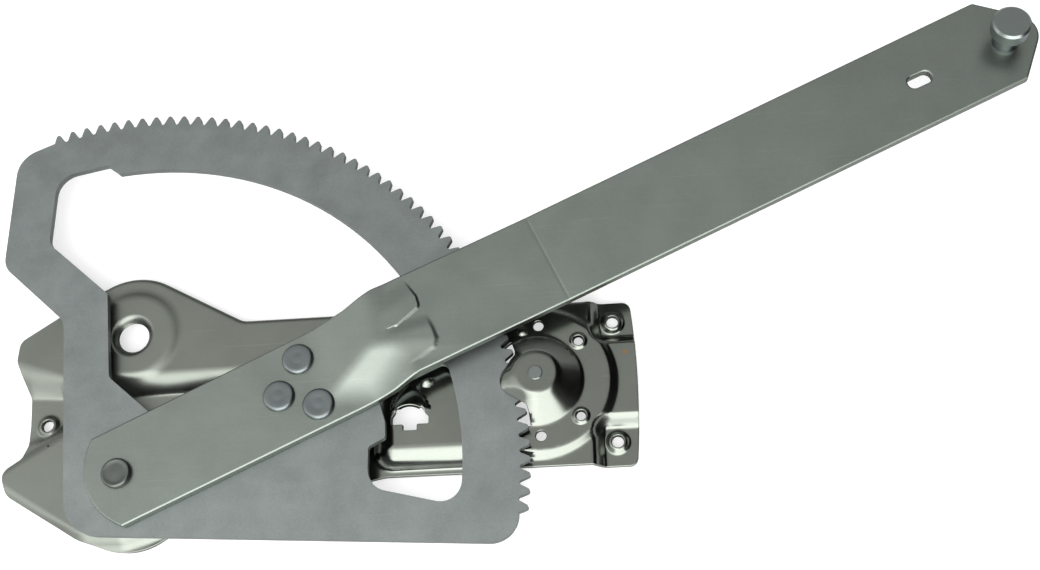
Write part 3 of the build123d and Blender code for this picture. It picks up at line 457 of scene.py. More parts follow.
def arc_rows(x, y, radius, first, last, steps):
    """Plain corner rows along an arc, angles in degrees."""
    angles = [radians(first + (last - first) * k / steps) for k in range(steps + 1)]
    return [(x + radius * cos(a), y + radius * sin(a), 0.0) for a in angles]


def evenly(points, spacing):
    """Closed outline with extra points so that no step is longer than the spacing."""
    result = []
    for a, b in zip(points, np.roll(points, -1, axis=0)):
        steps = max(1, int(np.ceil(np.linalg.norm(b - a) / spacing)))
        result += [a + (b - a) * k / steps for k in range(steps)]
    return np.array(result)


def signed_distance(outline, x, y):
    """Distance to a closed outline, negative inside."""
    nearest = np.full(x.shape, 1e9)
    inside = np.zeros(x.shape, bool)
    for (ax, ay), (bx, by) in zip(outline, np.roll(outline, -1, axis=0)):
        ex, ey = bx - ax, by - ay
        length = ex * ex + ey * ey
        if length < 1e-12:
            continue
        share = np.clip(((x - ax) * ex + (y - ay) * ey) / length, 0, 1)
        nearest = np.minimum(nearest, np.hypot(x - ax - share * ex, y - ay - share * ey))
        if ay != by:
            crosses = ((ay > y) != (by > y)) & (x < ex * (y - ay) / (by - ay) + ax)
            inside ^= crosses
    return np.where(inside, -nearest, nearest)


def rounded_step(value, blend):
    """0 below nought, the value itself above, with a rounded corner between."""
    middle = (value + blend) ** 2 / (4 * blend)
    return np.where(value < -blend, 0.0, np.where(value > blend, value, middle))


def ramp(distance, run, top_blend, foot_blend=None):
    """1 inside, falling to 0 over the run outside, with rounded shoulders."""
    foot_blend = foot_blend or top_blend
    fall = rounded_step(distance, top_blend) - rounded_step(distance - run, foot_blend)
    return 1.0 - fall / run


def smooth_max(a, b, blend):
    """Larger of two heights with a rounded join."""
    share = np.clip(0.5 + (a - b) / (2 * blend), 0, 1)
    return b + (a - b) * share + blend * share * (1 - share)


def smooth_min(a, b, blend):
    """Smaller of two heights with a rounded join."""
    return -smooth_max(-a, -b, blend)


def plate_outline():
    """Outline of the base plate."""
    low = arc_rows(0, 0, SKIRT_RADIUS, SKIRT_START_ANGLE, SKIRT_END_ANGLE, 16)
    middle_y = (PLATE_LOW_Y + PLATE_HIGH_Y) / 2
    half = (PLATE_HIGH_Y - PLATE_LOW_Y) / 2
    right = []
    for k in range(1, 10):
        y = PLATE_LOW_Y + (PLATE_HIGH_Y - PLATE_LOW_Y) * k / 10
        right.append((PLATE_RIGHT_X + PLATE_BULGE * (1 - ((y - middle_y) / half) ** 2), y, 0.0))
    lobe = arc_rows(HOLE_X, HOLE_Y, LOBE_RADIUS, LOBE_START_ANGLE, LOBE_END_ANGLE, 14)
    rows = low + LOWER_BENDS + [(PLATE_RIGHT_X, PLATE_LOW_Y, PLATE_CORNER)] + right
    rows += [(PLATE_RIGHT_X, PLATE_HIGH_Y, PLATE_CORNER), UPPER_BEND] + lobe + LEFT_LOBES
    return rounded(rows)


# Outlines and places that follow from the values above
PLATE_OUTLINE = plate_outline()
UPPER_LINE = rounded(UPPER_FIELD)
RIGHT_LINE = rounded(RIGHT_FIELD)
PIVOT_LINE = rounded(PIVOT_FIELD)
FINGER_LINES = [rounded(finger["rows"], 4) for finger in FINGERS]
NOSE_SHARE = 1 - NOSE_OFFSET / hypot(DRIVE_X, DRIVE_Y)
NOSE_X = NOSE_SHARE * DRIVE_X
NOSE_Y = NOSE_SHARE * DRIVE_Y


def dome_height(x, y):
    """Upper face of the dome and its nose."""
    rise = DOME_TOP - RING_TOP
    run = DOME_BASE_RADIUS - DOME_FLAT_RADIUS
    from_drive = np.hypot(x - DRIVE_X, y - DRIVE_Y)
    dome = RING_TOP + rise * ramp(from_drive - DOME_FLAT_RADIUS, run, *DOME_BLENDS)
    nose_rise = NOSE_TOP - RING_TOP
    nose_run = NOSE_BASE_RADIUS - NOSE_TOP_RADIUS
    from_nose = np.hypot(x - NOSE_X, y - NOSE_Y)
    nose = RING_TOP + nose_rise * ramp(from_nose - NOSE_TOP_RADIUS, nose_run, *NOSE_BLENDS)
    return smooth_max(dome, nose, NOSE_JOIN)


def field_share(x, y):
    """How far the raised fields lift a place: for the upper field alone, and for all of them."""
    left = np.clip((LEFT_RUN_START_X - x) / LEFT_RUN_SPAN, 0, 1)
    low = np.clip((SKIRT_START_Y - y) / SKIRT_SPAN, 0, 1)
    upper_run = UPPER_RUN + LEFT_RUN_GAIN * left
    upper = ramp(signed_distance(UPPER_LINE, x, y), upper_run, *UPPER_BLENDS)
    right = ramp(signed_distance(RIGHT_LINE, x, y), PAD_WALL_RUN, PAD_WALL_BLEND)
    pivot_run = WALL_RUN - SKIRT_RUN_LOSS * low
    pivot = ramp(signed_distance(PIVOT_LINE, x, y), pivot_run, *WALL_BLENDS)
    return upper, smooth_max(smooth_max(upper, right, FIELD_JOIN), pivot, FIELD_JOIN)


def plate_height(x, y):
    """Upper face of the base plate."""
    upper, field = field_share(x, y)
    z = PLATE_THICK + (MAIN_TOP - PLATE_THICK) * np.minimum(field, 1.0)
    from_hole = np.hypot(x - HOLE_X, y - HOLE_Y)
    z += EMBOSS_RISE * ramp(from_hole - EMBOSS_RADIUS, EMBOSS_RUN, EMBOSS_BLEND) * upper
    z -= DISH_DEPTH * ramp(from_hole - DISH_RADIUS, DISH_RUN, *DISH_BLENDS)
    z += SEAT_RISE * ramp(np.hypot(x, y) - SEAT_RADIUS, SEAT_RUN, SEAT_BLEND)
    from_drive = np.hypot(x - DRIVE_X, y - DRIVE_Y)
    ring = RING_RISE * ramp(from_drive - RING_FLAT_RADIUS, RING_RUN, RING_BLEND)
    z += ring * np.clip(field, 0, 1)
    z += dome_height(x, y) - RING_TOP
    z -= lip_drop(x, y)
    for bump in BUMPS:
        from_bump = np.hypot(x - bump["x"], y - bump["y"])
        z += bump["height"] * ramp(from_bump - bump["radius"] / 2, bump["radius"], BUMP_BLEND)
    return z + hood_height(x, y) + collar_height(x, y)


def lip_drop(x, y):
    """How far the plate's upper edge is turned down."""
    inward = np.clip(-signed_distance(PLATE_OUTLINE, x, y), 0, None)
    bend = np.clip(LIP_BEND - inward, 0, LIP_BEND)
    drop = LIP_BEND - np.sqrt(LIP_BEND**2 - bend**2)
    wall = 1 - ramp(LIP_RUN - inward, LIP_RUN, LIP_BLEND)
    drop = np.minimum(drop, LIP_BEND) + (LIP_DEPTH - LIP_BEND) * wall
    along = np.clip((x - LIP_LEFT) / LIP_FADE, 0, 1) * np.clip((LIP_RIGHT - x) / LIP_FADE, 0, 1)
    return drop * along * np.clip(y - LIP_LOW, 0, 1)


def hood_height(x, y):
    """Raised hood above the cable guide's window, open towards the window."""
    above = y - WINDOW_Y - HOOD_FOOT
    along = np.clip(above / HOOD_LENGTH, 0, 1)
    across = (x - WINDOW_X) / (HOOD_HALF * (1 - along**HOOD_NARROWING) + HOOD_TIP_HALF)
    hood = HOOD_RISE * np.sqrt(np.clip(1 - across**2, 0, 1)) * (1 - along) ** HOOD_FALL
    return hood * np.clip(above / HOOD_MOUTH + 1, 0, 1)


def collar(from_hole, size):
    """Height of one collar at a distance from its hole."""
    return size["rise"] * ramp(from_hole - size["radius"], size["run"], size["blend"])


def collar_height(x, y):
    """Raised collars round the threaded holes."""
    rise = np.zeros(x.shape)
    for hx, hy in PANEL_HOLES:
        rise += collar(np.hypot(x - hx, y - hy), PANEL_COLLAR)
    for angle in (-TAPPED_ANGLE, TAPPED_ANGLE):
        hx, hy = motor_hole(angle)
        rise += collar(np.hypot(x - hx, y - hy), MOTOR_COLLAR)
    return rise


def motor_hole(angle):
    """Plan place of a motor hole, at an angle in degrees."""
    turn = radians(angle)
    return DRIVE_X + MOTOR_CIRCLE * cos(turn), DRIVE_Y + MOTOR_CIRCLE * sin(turn)


def cable_window():
    """Notched window of the cable guide."""
    side = WINDOW_Y + WINDOW_SIDE
    rows = [
        (WINDOW_X - WINDOW_HALF, WINDOW_Y, 0.5),
        (WINDOW_X - NOTCH_HALF, WINDOW_Y, 0.3),
        (WINDOW_X - NOTCH_HALF, WINDOW_Y - NOTCH_DEPTH, 0.5),
        (WINDOW_X + NOTCH_HALF, WINDOW_Y - NOTCH_DEPTH, 0.5),
        (WINDOW_X + NOTCH_HALF, WINDOW_Y, 0.3),
        (WINDOW_X + WINDOW_HALF, WINDOW_Y, 0.5),
        (WINDOW_X + WINDOW_HALF, side, 1.5),
    ]
    arc_y = side - WINDOW_ARC_BELOW
    rows += arc_rows(WINDOW_X, arc_y, WINDOW_ARC_RADIUS, WINDOW_ARC_START, WINDOW_ARC_END, 10)
    rows.append((WINDOW_X - WINDOW_HALF, side, 1.5))
    return rounded(rows, 3)


def nose_place(angle, reach):
    """Plan place at an angle and a distance from the nose's middle."""
    return NOSE_X + reach * cos(angle), NOSE_Y + reach * sin(angle)


def contour_radius(angle, level, reach):
    """Distance from the nose's middle, at an angle, at which the dome falls to a level."""
    radii = np.linspace(SEARCH_START, reach, SEARCH_POINTS)
    heights = dome_height(*nose_place(angle, radii))
    below = np.nonzero(heights < level)[0]
    return radii[below[0]] if len(below) else reach


def rim_slot():
    """Opening in the dome's wall through which the sector's rim sweeps."""
    inner, outer = [], []
    toward_pivot = degrees(atan2(-NOSE_Y, -NOSE_X))
    limit = SECTOR_TIP + SLOT_GAP
    for k in range(SLOT_STEPS + 1):
        angle = radians(toward_pivot + SLOT_HALF_ANGLE * (2 * k / SLOT_STEPS - 1))
        near = contour_radius(angle, SLOT_TOP, SEARCH_TOP)
        far = contour_radius(angle, SLOT_FOOT, SEARCH_FOOT)
        if hypot(*nose_place(angle, near)) < limit - SLOT_LEAST:
            while far > near and hypot(*nose_place(angle, far)) > limit:
                far -= SLOT_TRIM
            inner.append(nose_place(angle, near))
            outer.append(nose_place(angle, far))
    return np.array(outer + inner[::-1])


def mark_share(u, v):
    """How far the finger marks raise a place of the arm."""
    mark = ramp(u - MARK_START, MARK_RUN, MARK_BLEND)
    for finger, line in zip(FINGERS, FINGER_LINES):
        raised = ramp(signed_distance(line, u, v), finger["run"], FINGER_BLEND)
        at_u, at_v, turn = finger["line"]
        above = (v - at_v) * cos(turn) - (u - at_u) * sin(turn)
        mark = np.maximum(mark, raised * ramp(above, finger["fade"], FINGER_FADE_BLEND))
    return mark


def arm_height(u, v):
    """Upper face of the arm: joggle, ridge, finger marks and bend line."""
    low = ramp(u - JOGGLE_START, JOGGLE_END - JOGGLE_START, *JOGGLE_BLENDS)
    z = ARM_TOP + ARM_LIFT * (1 - low)
    c, s = cos(RIDGE["turn"]), sin(RIDGE["turn"])
    along = (u - RIDGE["u"]) * c + (v - RIDGE["v"]) * s
    across = (v - RIDGE["v"]) * c - (u - RIDGE["u"]) * s
    side = smooth_max(-RIDGE["front"] * across, RIDGE["back"] * across, RIDGE_CREST_BLEND)
    crest = ARM_TOP + RIDGE["rise"] * along - side
    top = ARM_TOP + ARM_LIFT + MARK_RISE * mark_share(u, v)
    near = smooth_min(smooth_max(z, crest, RIDGE_FOOT_BLEND), top, TOP_BLEND)
    z = near + (z - near) * np.clip((u - NEAR_END) / NEAR_FADE, 0, 1)
    z = z - CREASE_DEPTH * np.clip(1 - np.abs(u - CREASE_U) / CREASE_HALF, 0, 1)
    return z + RISE_SLOPE * rounded_step(u - CREASE_U, CREASE_BLEND)


def arm_outline():
    """Outline of the arm in U and V, its root end as an arc."""
    start, end = ARM_EDGE[-1], ARM_EDGE[0]
    chord = (start[1] - end[1]) / 2
    middle = (start[1] + end[1]) / 2
    radius = (chord**2 + ARM_ROOT_BULGE**2) / (2 * ARM_ROOT_BULGE)
    centre_u = ARM_ROOT_U - ARM_ROOT_BULGE + radius
    spread = degrees(asin(chord / radius))
    root = arc_rows(centre_u, middle, radius, 180.0 - spread, 180.0 + spread, 24)
    return rounded(ARM_EDGE[1:-1] + root)


def to_plan(points):
    """Arm places as plan places."""
    u, v = points[:, 0], points[:, 1]
    c, s = cos(ARM_ANGLE), sin(ARM_ANGLE)
    return np.column_stack((u * c - v * s, u * s + v * c))


def surface(height, points):
    """Places and unit normals on a height function."""
    x, y = points[:, 0], points[:, 1]
    step = SLOPE_STEP
    slope_x = (height(x + step, y) - height(x - step, y)) / (2 * step)
    slope_y = (height(x, y + step) - height(x, y - step)) / (2 * step)
    normals = np.column_stack((-slope_x, -slope_y, np.ones(len(x))))
    normals /= np.linalg.norm(normals, axis=1)[:, None]
    return np.column_stack((x, y, height(x, y))), normals


# Meshes
class Skin:
    """Vertices, normals and faces gathered for one mesh."""

    def __init__(self):
        self.places = []
        self.normals = []
        self.faces = []
        self.count = 0

    def add(self, places, normals):
        """Take in vertices and give the number of the first one."""
        self.places.append(places)
        self.normals.append(normals)
        first = self.count
        self.count += len(places)
        return first

    def mesh(self, name, to_row):
        """Object in the row frame, made of everything gathered."""
        places = np.concatenate(self.places)
        normals = np.concatenate(self.normals)
        mesh = bpy.data.meshes.new(name)
        mesh.from_pydata([tuple(p) for p in to_row(places) * MM], [], self.faces)
        mesh.validate()
        mesh.polygons.foreach_set("use_smooth", [True] * len(mesh.polygons))
        turned = to_row(places + normals) - to_row(places)
        mesh.normals_split_custom_set_from_vertices([tuple(n) for n in turned])
        mesh.update()
        piece = bpy.data.objects.new(name, mesh)
        bpy.context.scene.collection.objects.link(piece)
        return piece


def edge_normals(loop):
    """Plan normals of a closed loop, to the right of its direction of travel."""
    along = np.roll(loop, -1, axis=0) - np.roll(loop, 1, axis=0)
    normal = np.column_stack((along[:, 1], -along[:, 0]))
    return normal / np.linalg.norm(normal, axis=1)[:, None]


def area(loop):
    """Signed area of a loop."""
    x, y = loop[:, 0], loop[:, 1]
    return 0.5 * float(np.sum(x * np.roll(y, -1) - np.roll(x, -1) * y))


def within(loops, x, y, outer_gap, inner_gap):
    """Which places lie inside the first loop and outside the others, by at least a gap."""
    kept = signed_distance(loops[0], x, y) < -outer_gap
    for loop in loops[1:]:
        kept &= signed_distance(loop, x, y) > inner_gap
    return kept


def inset_loops(outline, holes, spacing, rim):
    """Outline and holes with even points, drawn back into the sheet by the rim's width."""
    loops = []
    for index, loop in enumerate([outline] + holes):
        loop = evenly(loop, spacing * LOOP_SHARE)
        if (area(loop) > 0) != (index == 0):
            loop = loop[::-1]
        loops.append(loop - rim * edge_normals(loop))
    return loops


def grid_and_guides(loops, creases, low, high, spacing):
    """Even grid inside the loops, and guide points that push the grid's points aside."""
    xs = np.arange(low[0] + spacing / 2, high[0], spacing)
    ys = np.arange(low[1] + spacing / 2, high[1], spacing)
    gx, gy = (values.ravel() for values in np.meshgrid(xs, ys))
    gap = EDGE_GAP_SHARE * spacing
    kept = within(loops, gx, gy, gap, gap)
    gx, gy = gx[kept], gy[kept]
    guides = []
    for line in creases:
        line = line[within(loops, line[:, 0], line[:, 1], GUIDE_OUTER_GAP, GUIDE_INNER_GAP)]
        guides += list(line)
        for x, y in line:
            near = np.hypot(gx - x, gy - y) < GUIDE_GAP_SHARE * spacing
            gx, gy = gx[~near], gy[~near]
    return guides, list(zip(gx, gy))


def triangulated(loops, inner_points):
    """Plan points and the triangles between them, with the loops as edges."""
    points = [Vector(point) for loop in loops for point in loop]
    points += [Vector(point) for point in inner_points]
    edges = []
    first = 0
    for loop in loops:
        edges += [(first + k, first + (k + 1) % len(loop)) for k in range(len(loop))]
        first += len(loop)
    found, _, faces, _, _, _ = delaunay_2d_cdt(points, edges, [], 1, 1e-6)
    plan = np.array([tuple(point) for point in found])
    triangles = np.array(faces)
    middle = plan[triangles].mean(axis=1)
    return plan, triangles[within(loops, middle[:, 0], middle[:, 1], 0, 0)]


def pressed_sheet(skin, outline, holes, creases, height, thick, spacing, rim):
    """Sheet between its edges, lifted by a height function, with rounded rims."""
    loops = inset_loops(outline, holes, spacing, rim)
    guides, grid = grid_and_guides(loops, creases, outline.min(0), outline.max(0), spacing)
    plan, triangles = triangulated(loops, guides + grid)
    places, normals = surface(height, plan)
    depth = thick(plan[:, 0], plan[:, 1])
    top = skin.add(places, normals)
    bottom = skin.add(places - depth[:, None] * normals, -normals)
    skin.faces += [(top + a, top + b, top + c) for a, b, c in triangles.tolist()]
    skin.faces += [(bottom + c, bottom + b, bottom + a) for a, b, c in triangles.tolist()]
    first = 0
    for loop in loops:
        ids = list(range(first, first + len(loop)))
        rim_band(skin, places[ids], normals[ids], depth[ids], ids, loop, rim, top, bottom)
        first += len(loop)


def rim_band(skin, spots, up, depth, ids, loop, rim, top, bottom):
    """Rounded edge of the sheet along one loop."""
    outward = edge_normals(loop)
    level = -(up[:, 0] * outward[:, 0] + up[:, 1] * outward[:, 1]) / up[:, 2]
    out = np.column_stack((outward, level))
    out /= np.linalg.norm(out, axis=1)[:, None]
    upper_core = spots - rim * up
    lower_core = spots - (depth[:, None] - rim) * up
    bands = [[top + i for i in ids]]
    steps = [(upper_core, k) for k in (1, 2, 3)] + [(lower_core, k) for k in (3, 4, 5)]
    for core, k in steps:
        face = cos(k * pi / 6) * up + sin(k * pi / 6) * out
        start = skin.add(core + rim * face, face)
        bands.append(list(range(start, start + len(ids))))
    bands.append([bottom + i for i in ids])
    for upper, lower in zip(bands, bands[1:]):
        for k in range(len(ids)):
            n = (k + 1) % len(ids)
            skin.faces.append((upper[k], lower[k], lower[n], upper[n]))


def plan_to_row(places):
    """Plan places about the pivot, moved to the row frame."""
    return places + np.array((PIVOT_X, PIVOT_Y, 0.0))


def arm_to_row(places):
    """Arm places, turned to the arm's direction and moved to the row frame."""
    plan = to_plan(places[:, :2])
    return plan_to_row(np.column_stack((plan, places[:, 2])))


def plate_thickness(x, y):
    """Sheet thickness, thinner where the dome is drawn."""
    return np.where(np.hypot(x - DRIVE_X, y - DRIVE_Y) < DOME_BASE_RADIUS, DOME_THICK, PLATE_THICK)


def rings(x, y, radii, steps=48):
    """Guide circles about a plan place."""
    return [circle(x, y, radius, steps) for radius in radii]


def lip_lines():
    """Guide lines along the turned-down edge."""
    line = evenly(PLATE_OUTLINE, GUIDE_SPACING)
    if area(line) < 0:
        line = line[::-1]
    x, y = line[:, 0], line[:, 1]
    margin = LIP_GUIDE_MARGIN
    kept = (x > LIP_LEFT - margin) & (x < LIP_RIGHT + margin) & (y > LIP_LOW - margin)
    normals = edge_normals(line)
    return [(line - depth * normals)[kept] for depth in LIP_GUIDES]


def plate_creases():
    """Guide lines where the plate's form changes sharply."""
    lines = lip_lines() + rings(HOLE_X, HOLE_Y, HOLE_GUIDES, 64)
    for hx, hy in PANEL_HOLES:
        lines += rings(hx, hy, PANEL_GUIDES)
    for angle in (-TAPPED_ANGLE, TAPPED_ANGLE):
        lines += rings(*motor_hole(angle), MOTOR_GUIDES, 40)
    return lines + rings(DRIVE_X, DRIVE_Y, [RING_RADIUS + shift for shift in RING_GUIDES], 200)


def make_plate():
    """Base plate as one smooth pressed sheet."""
    holes = [circle(hx, hy, PANEL_HOLE_RADIUS, 32) for hx, hy in PANEL_HOLES]
    for angle in (-PLAIN_ANGLE, -TAPPED_ANGLE, TAPPED_ANGLE, PLAIN_ANGLE):
        holes.append(circle(*motor_hole(angle), MOTOR_HOLE_RADIUS, 28))
    holes += [circle(HOLE_X, HOLE_Y, HOLE_RADIUS, 56), cable_window(), rim_slot()]
    skin = Skin()
    pressed_sheet(
        skin, PLATE_OUTLINE, holes, plate_creases(),
        plate_height, plate_thickness, PLATE_SPACING, PLATE_RIM,
    )
    return skin.mesh("base_plate_pressing", plan_to_row)


def arm_thickness(u, v):
    """Sheet thickness of the arm, the same everywhere."""
    return np.full(u.shape, ARM_THICK)


def arm_creases():
    """Guide lines along the finger marks and the bend line."""
    lines = []
    for finger, line in zip(FINGERS, FINGER_LINES):
        low, high = finger["guides"]
        for shift in FINGER_GUIDES:
            wide = evenly(line + shift * edge_normals(line), FINE_GUIDE_SPACING)
            u, v = wide[:, 0], wide[:, 1]
            lines.append(wide[(u > MARK_START) & (v > low) & (v < high)])
    for k in range(-2, 3):
        u = CREASE_U + CREASE_HALF * k / 2
        across = np.arange(-ARM_HALF, ARM_HALF, GUIDE_SPACING)
        lines.append(np.array([(u, v) for v in across]))
    return lines


def make_arm():
    """Lift arm as one smooth bent sheet."""
    skin = Skin()
    pressed_sheet(
        skin, arm_outline(), [rounded(GLASS_SLOT)], arm_creases(),
        arm_height, arm_thickness, ARM_SPACING, ARM_RIM,
    )
    return skin.mesh("lift_arm_sheet", arm_to_row)


def blended_side(flat, k, near):
    """Direction a band's end faces, shared with its neighbour unless there is a sharp edge between."""
    if 0 <= near < len(flat) and flat[near] @ flat[k] > LATHE_SOFT_COSINE:
        side = flat[near] + flat[k]
        return side / np.linalg.norm(side)
    return flat[k]


def lathe(skin, x, y, z, rows):
    """Turned shape about an upright axis."""
    steps = LATHE_STEPS
    rows = np.array(rows)
    along = np.diff(rows, axis=0)
    flat = np.column_stack((-along[:, 1], along[:, 0]))
    flat /= np.linalg.norm(flat, axis=1)[:, None]
    angles = np.arange(steps) * 2 * pi / steps
    c, s = np.cos(angles), np.sin(angles)
    for k in range(len(along)):
        starts = []
        for end, near in ((k, k - 1), (k + 1, k + 1)):
            side = blended_side(flat, k, near)
            radius, level = rows[end]
            places = np.column_stack((x + radius * c, y + radius * s, np.full(steps, z + level)))
            normals = np.column_stack((side[0] * c, side[0] * s, np.full(steps, side[1])))
            starts.append(skin.add(places, normals))
        upper, lower = starts
        for i in range(steps):
            n = (i + 1) % steps
            skin.faces.append((upper + i, lower + i, lower + n, upper + n))


def make_rivets():
    """Three rivets whose heads have a faint ring in their face."""
    skin = Skin()
    for u, v in RIVET_SPOTS:
        x, y = to_plan(np.array([[u, v]]))[0]
        lathe(skin, x, y, ARM_TOP, RIVET_ROWS)
    return skin.mesh("arm_rivets_turned", plan_to_row)


def make_pin():
    """Pivot pin whose head is dished inside a shallow raised rim."""
    skin = Skin()
    lathe(skin, 0.0, 0.0, ARM_TOP, PIN_ROWS)
    return skin.mesh("pivot_pin_turned", plan_to_row)


# Materials
class Nodes:
    """Short way to add nodes and links to a material or a world."""

    def __init__(self, owner):
        owner.use_nodes = True
        self.tree = owner.node_tree
        self.tree.nodes.clear()

    def add(self, kind, **settings):
        """New node with its settings."""
        node = self.tree.nodes.new(kind)
        for key, value in settings.items():
            setattr(node, key, value)
        return node

    def link(self, a, b):
        """Join an output to an input."""
        self.tree.links.new(a, b)

    def math(self, operation, a, b):
        """Result of a sum on two values, each a number or an output."""
        node = self.add("ShaderNodeMath", operation=operation)
        for socket, value in zip(node.inputs, (a, b)):
            if isinstance(value, (int, float)):
                socket.default_value = value
            else:
                self.link(value, socket)
        return node.outputs[0]

    def share(self, value, low, high):
        """0 to 1 as a value goes from low to high, smoothly."""
        node = self.add("ShaderNodeMapRange", interpolation_type="SMOOTHSTEP")
        node.inputs["From Min"].default_value = low
        node.inputs["From Max"].default_value = high
        self.link(value, node.inputs["Value"])
        return node.outputs[0]

    def swing(self, value, amount):
        """How far a pattern is from its middle, times an amount."""
        return self.math("MULTIPLY", self.math("SUBTRACT", value, 0.5), amount)

    def dimmed(self, level, where, loss):
        """A level that loses a share of itself where another value is 1."""
        rest = self.math("SUBTRACT", 1.0, self.math("MULTIPLY", where, loss))
        return self.math("MULTIPLY", level, rest)

    def noise(self, place, scale, detail, hardness=0.5):
        """Cloudy pattern between 0 and 1."""
        node = self.add("ShaderNodeTexNoise")
        node.inputs["Scale"].default_value = scale
        node.inputs["Detail"].default_value = detail
        node.inputs["Roughness"].default_value = hardness
        self.link(place, node.inputs["Vector"])
        return node.outputs[0]

    def mapped(self, place, turn, scale, shift=(0.0, 0.0, 0.0)):
        """Place scaled by axis, turned about Z and shifted."""
        node = self.add("ShaderNodeMapping")
        node.inputs["Location"].default_value = shift
        node.inputs["Rotation"].default_value = (0, 0, turn)
        node.inputs["Scale"].default_value = scale
        self.link(place, node.inputs["Vector"])
        return node.outputs[0]


def scratched(n, place, tone, wear, grain_angle):
    """Tone with two sets of fine bright scratches."""
    for row in SCRATCHES:
        shift = (row["turn"], 0.3, 0.1)
        along = n.mapped(place, -grain_angle - row["turn"], row["scale"], shift)
        strength = n.share(n.noise(along, 1.0, SCRATCH_DETAIL), row["least"], row["least"] + SCRATCH_FADE)
        tone = n.math("ADD", tone, n.math("MULTIPLY", strength, wear * row["gain"]))
    return tone


def stained(n, place, speck, tint, stains):
    """Colour with ragged spots of another colour."""
    for stain in stains:
        away = n.add("ShaderNodeVectorMath", operation="DISTANCE")
        away.inputs[1].default_value = (stain["x"] * MM, stain["y"] * MM, MAIN_TOP * MM)
        n.link(place, away.inputs[0])
        size = stain["size"] * MM
        ragged = n.math("ADD", away.outputs["Value"], n.math("MULTIPLY", speck, size))
        mix = n.add("ShaderNodeMix", data_type="RGBA")
        mix.inputs[7].default_value = (*stain["colour"], 1)
        low, high = STAIN_FADE
        n.link(n.share(ragged, size * low, size * high), mix.inputs[0])
        n.link(tint, mix.inputs[6])
        tint = mix.outputs[2]
    return tint


def metal(
    name, colour, roughness, mottle,
    scale=1.0, grain=0.0, grain_angle=0.0, wear=0.0, dull_left=0.0, stains=(),
):
    """Plated metal: cloudy tone and fine speckle and, if asked, rolling lines, scratches and stains."""
    material = bpy.data.materials.new(name)
    n = Nodes(material)
    out = n.add("ShaderNodeOutputMaterial")
    shader = n.add("ShaderNodeBsdfPrincipled")
    n.link(shader.outputs[0], out.inputs[0])
    place = n.add("ShaderNodeTexCoord").outputs["Object"]
    cloud = n.noise(place, CLOUD_SCALE * scale, CLOUD_DETAIL, CLOUD_HARDNESS)
    speck = n.noise(place, SPECK_SCALE * scale, SPECK_DETAIL)
    lines = n.noise(n.mapped(place, -grain_angle, LINE_SCALE), 1.0, LINE_DETAIL)
    tone = n.math("ADD", n.swing(cloud, mottle * 2.0), 1.0)
    tone = n.math("ADD", tone, n.swing(speck, mottle))
    tone = n.math("ADD", tone, n.swing(lines, grain))
    if wear:
        tone = scratched(n, place, tone, wear, grain_angle)
    mix = n.add("ShaderNodeMix", data_type="RGBA", blend_type="MULTIPLY")
    mix.inputs[0].default_value = 1.0
    mix.inputs[6].default_value = (*colour, 1)
    n.link(tone, mix.inputs[7])
    n.link(stained(n, place, speck, mix.outputs[2], stains), shader.inputs["Base Color"])
    shader.inputs["Metallic"].default_value = 1.0
    rough = n.math("ADD", n.swing(cloud, CLOUD_ROUGHNESS), roughness)
    if dull_left:
        sides = n.add("ShaderNodeSeparateXYZ")
        n.link(place, sides.inputs[0])
        dull = n.share(sides.outputs[0], DULL_FROM_X, DULL_TO_X)
        rough = n.math("ADD", rough, n.math("MULTIPLY", dull, dull_left))
    n.link(rough, shader.inputs["Roughness"])
    relief = n.add("ShaderNodeBump")
    relief.inputs["Strength"].default_value = RELIEF_STRENGTH
    relief.inputs["Distance"].default_value = RELIEF_DEPTH
    n.link(speck, relief.inputs["Height"])
    n.link(relief.outputs[0], shader.inputs["Normal"])
    return material


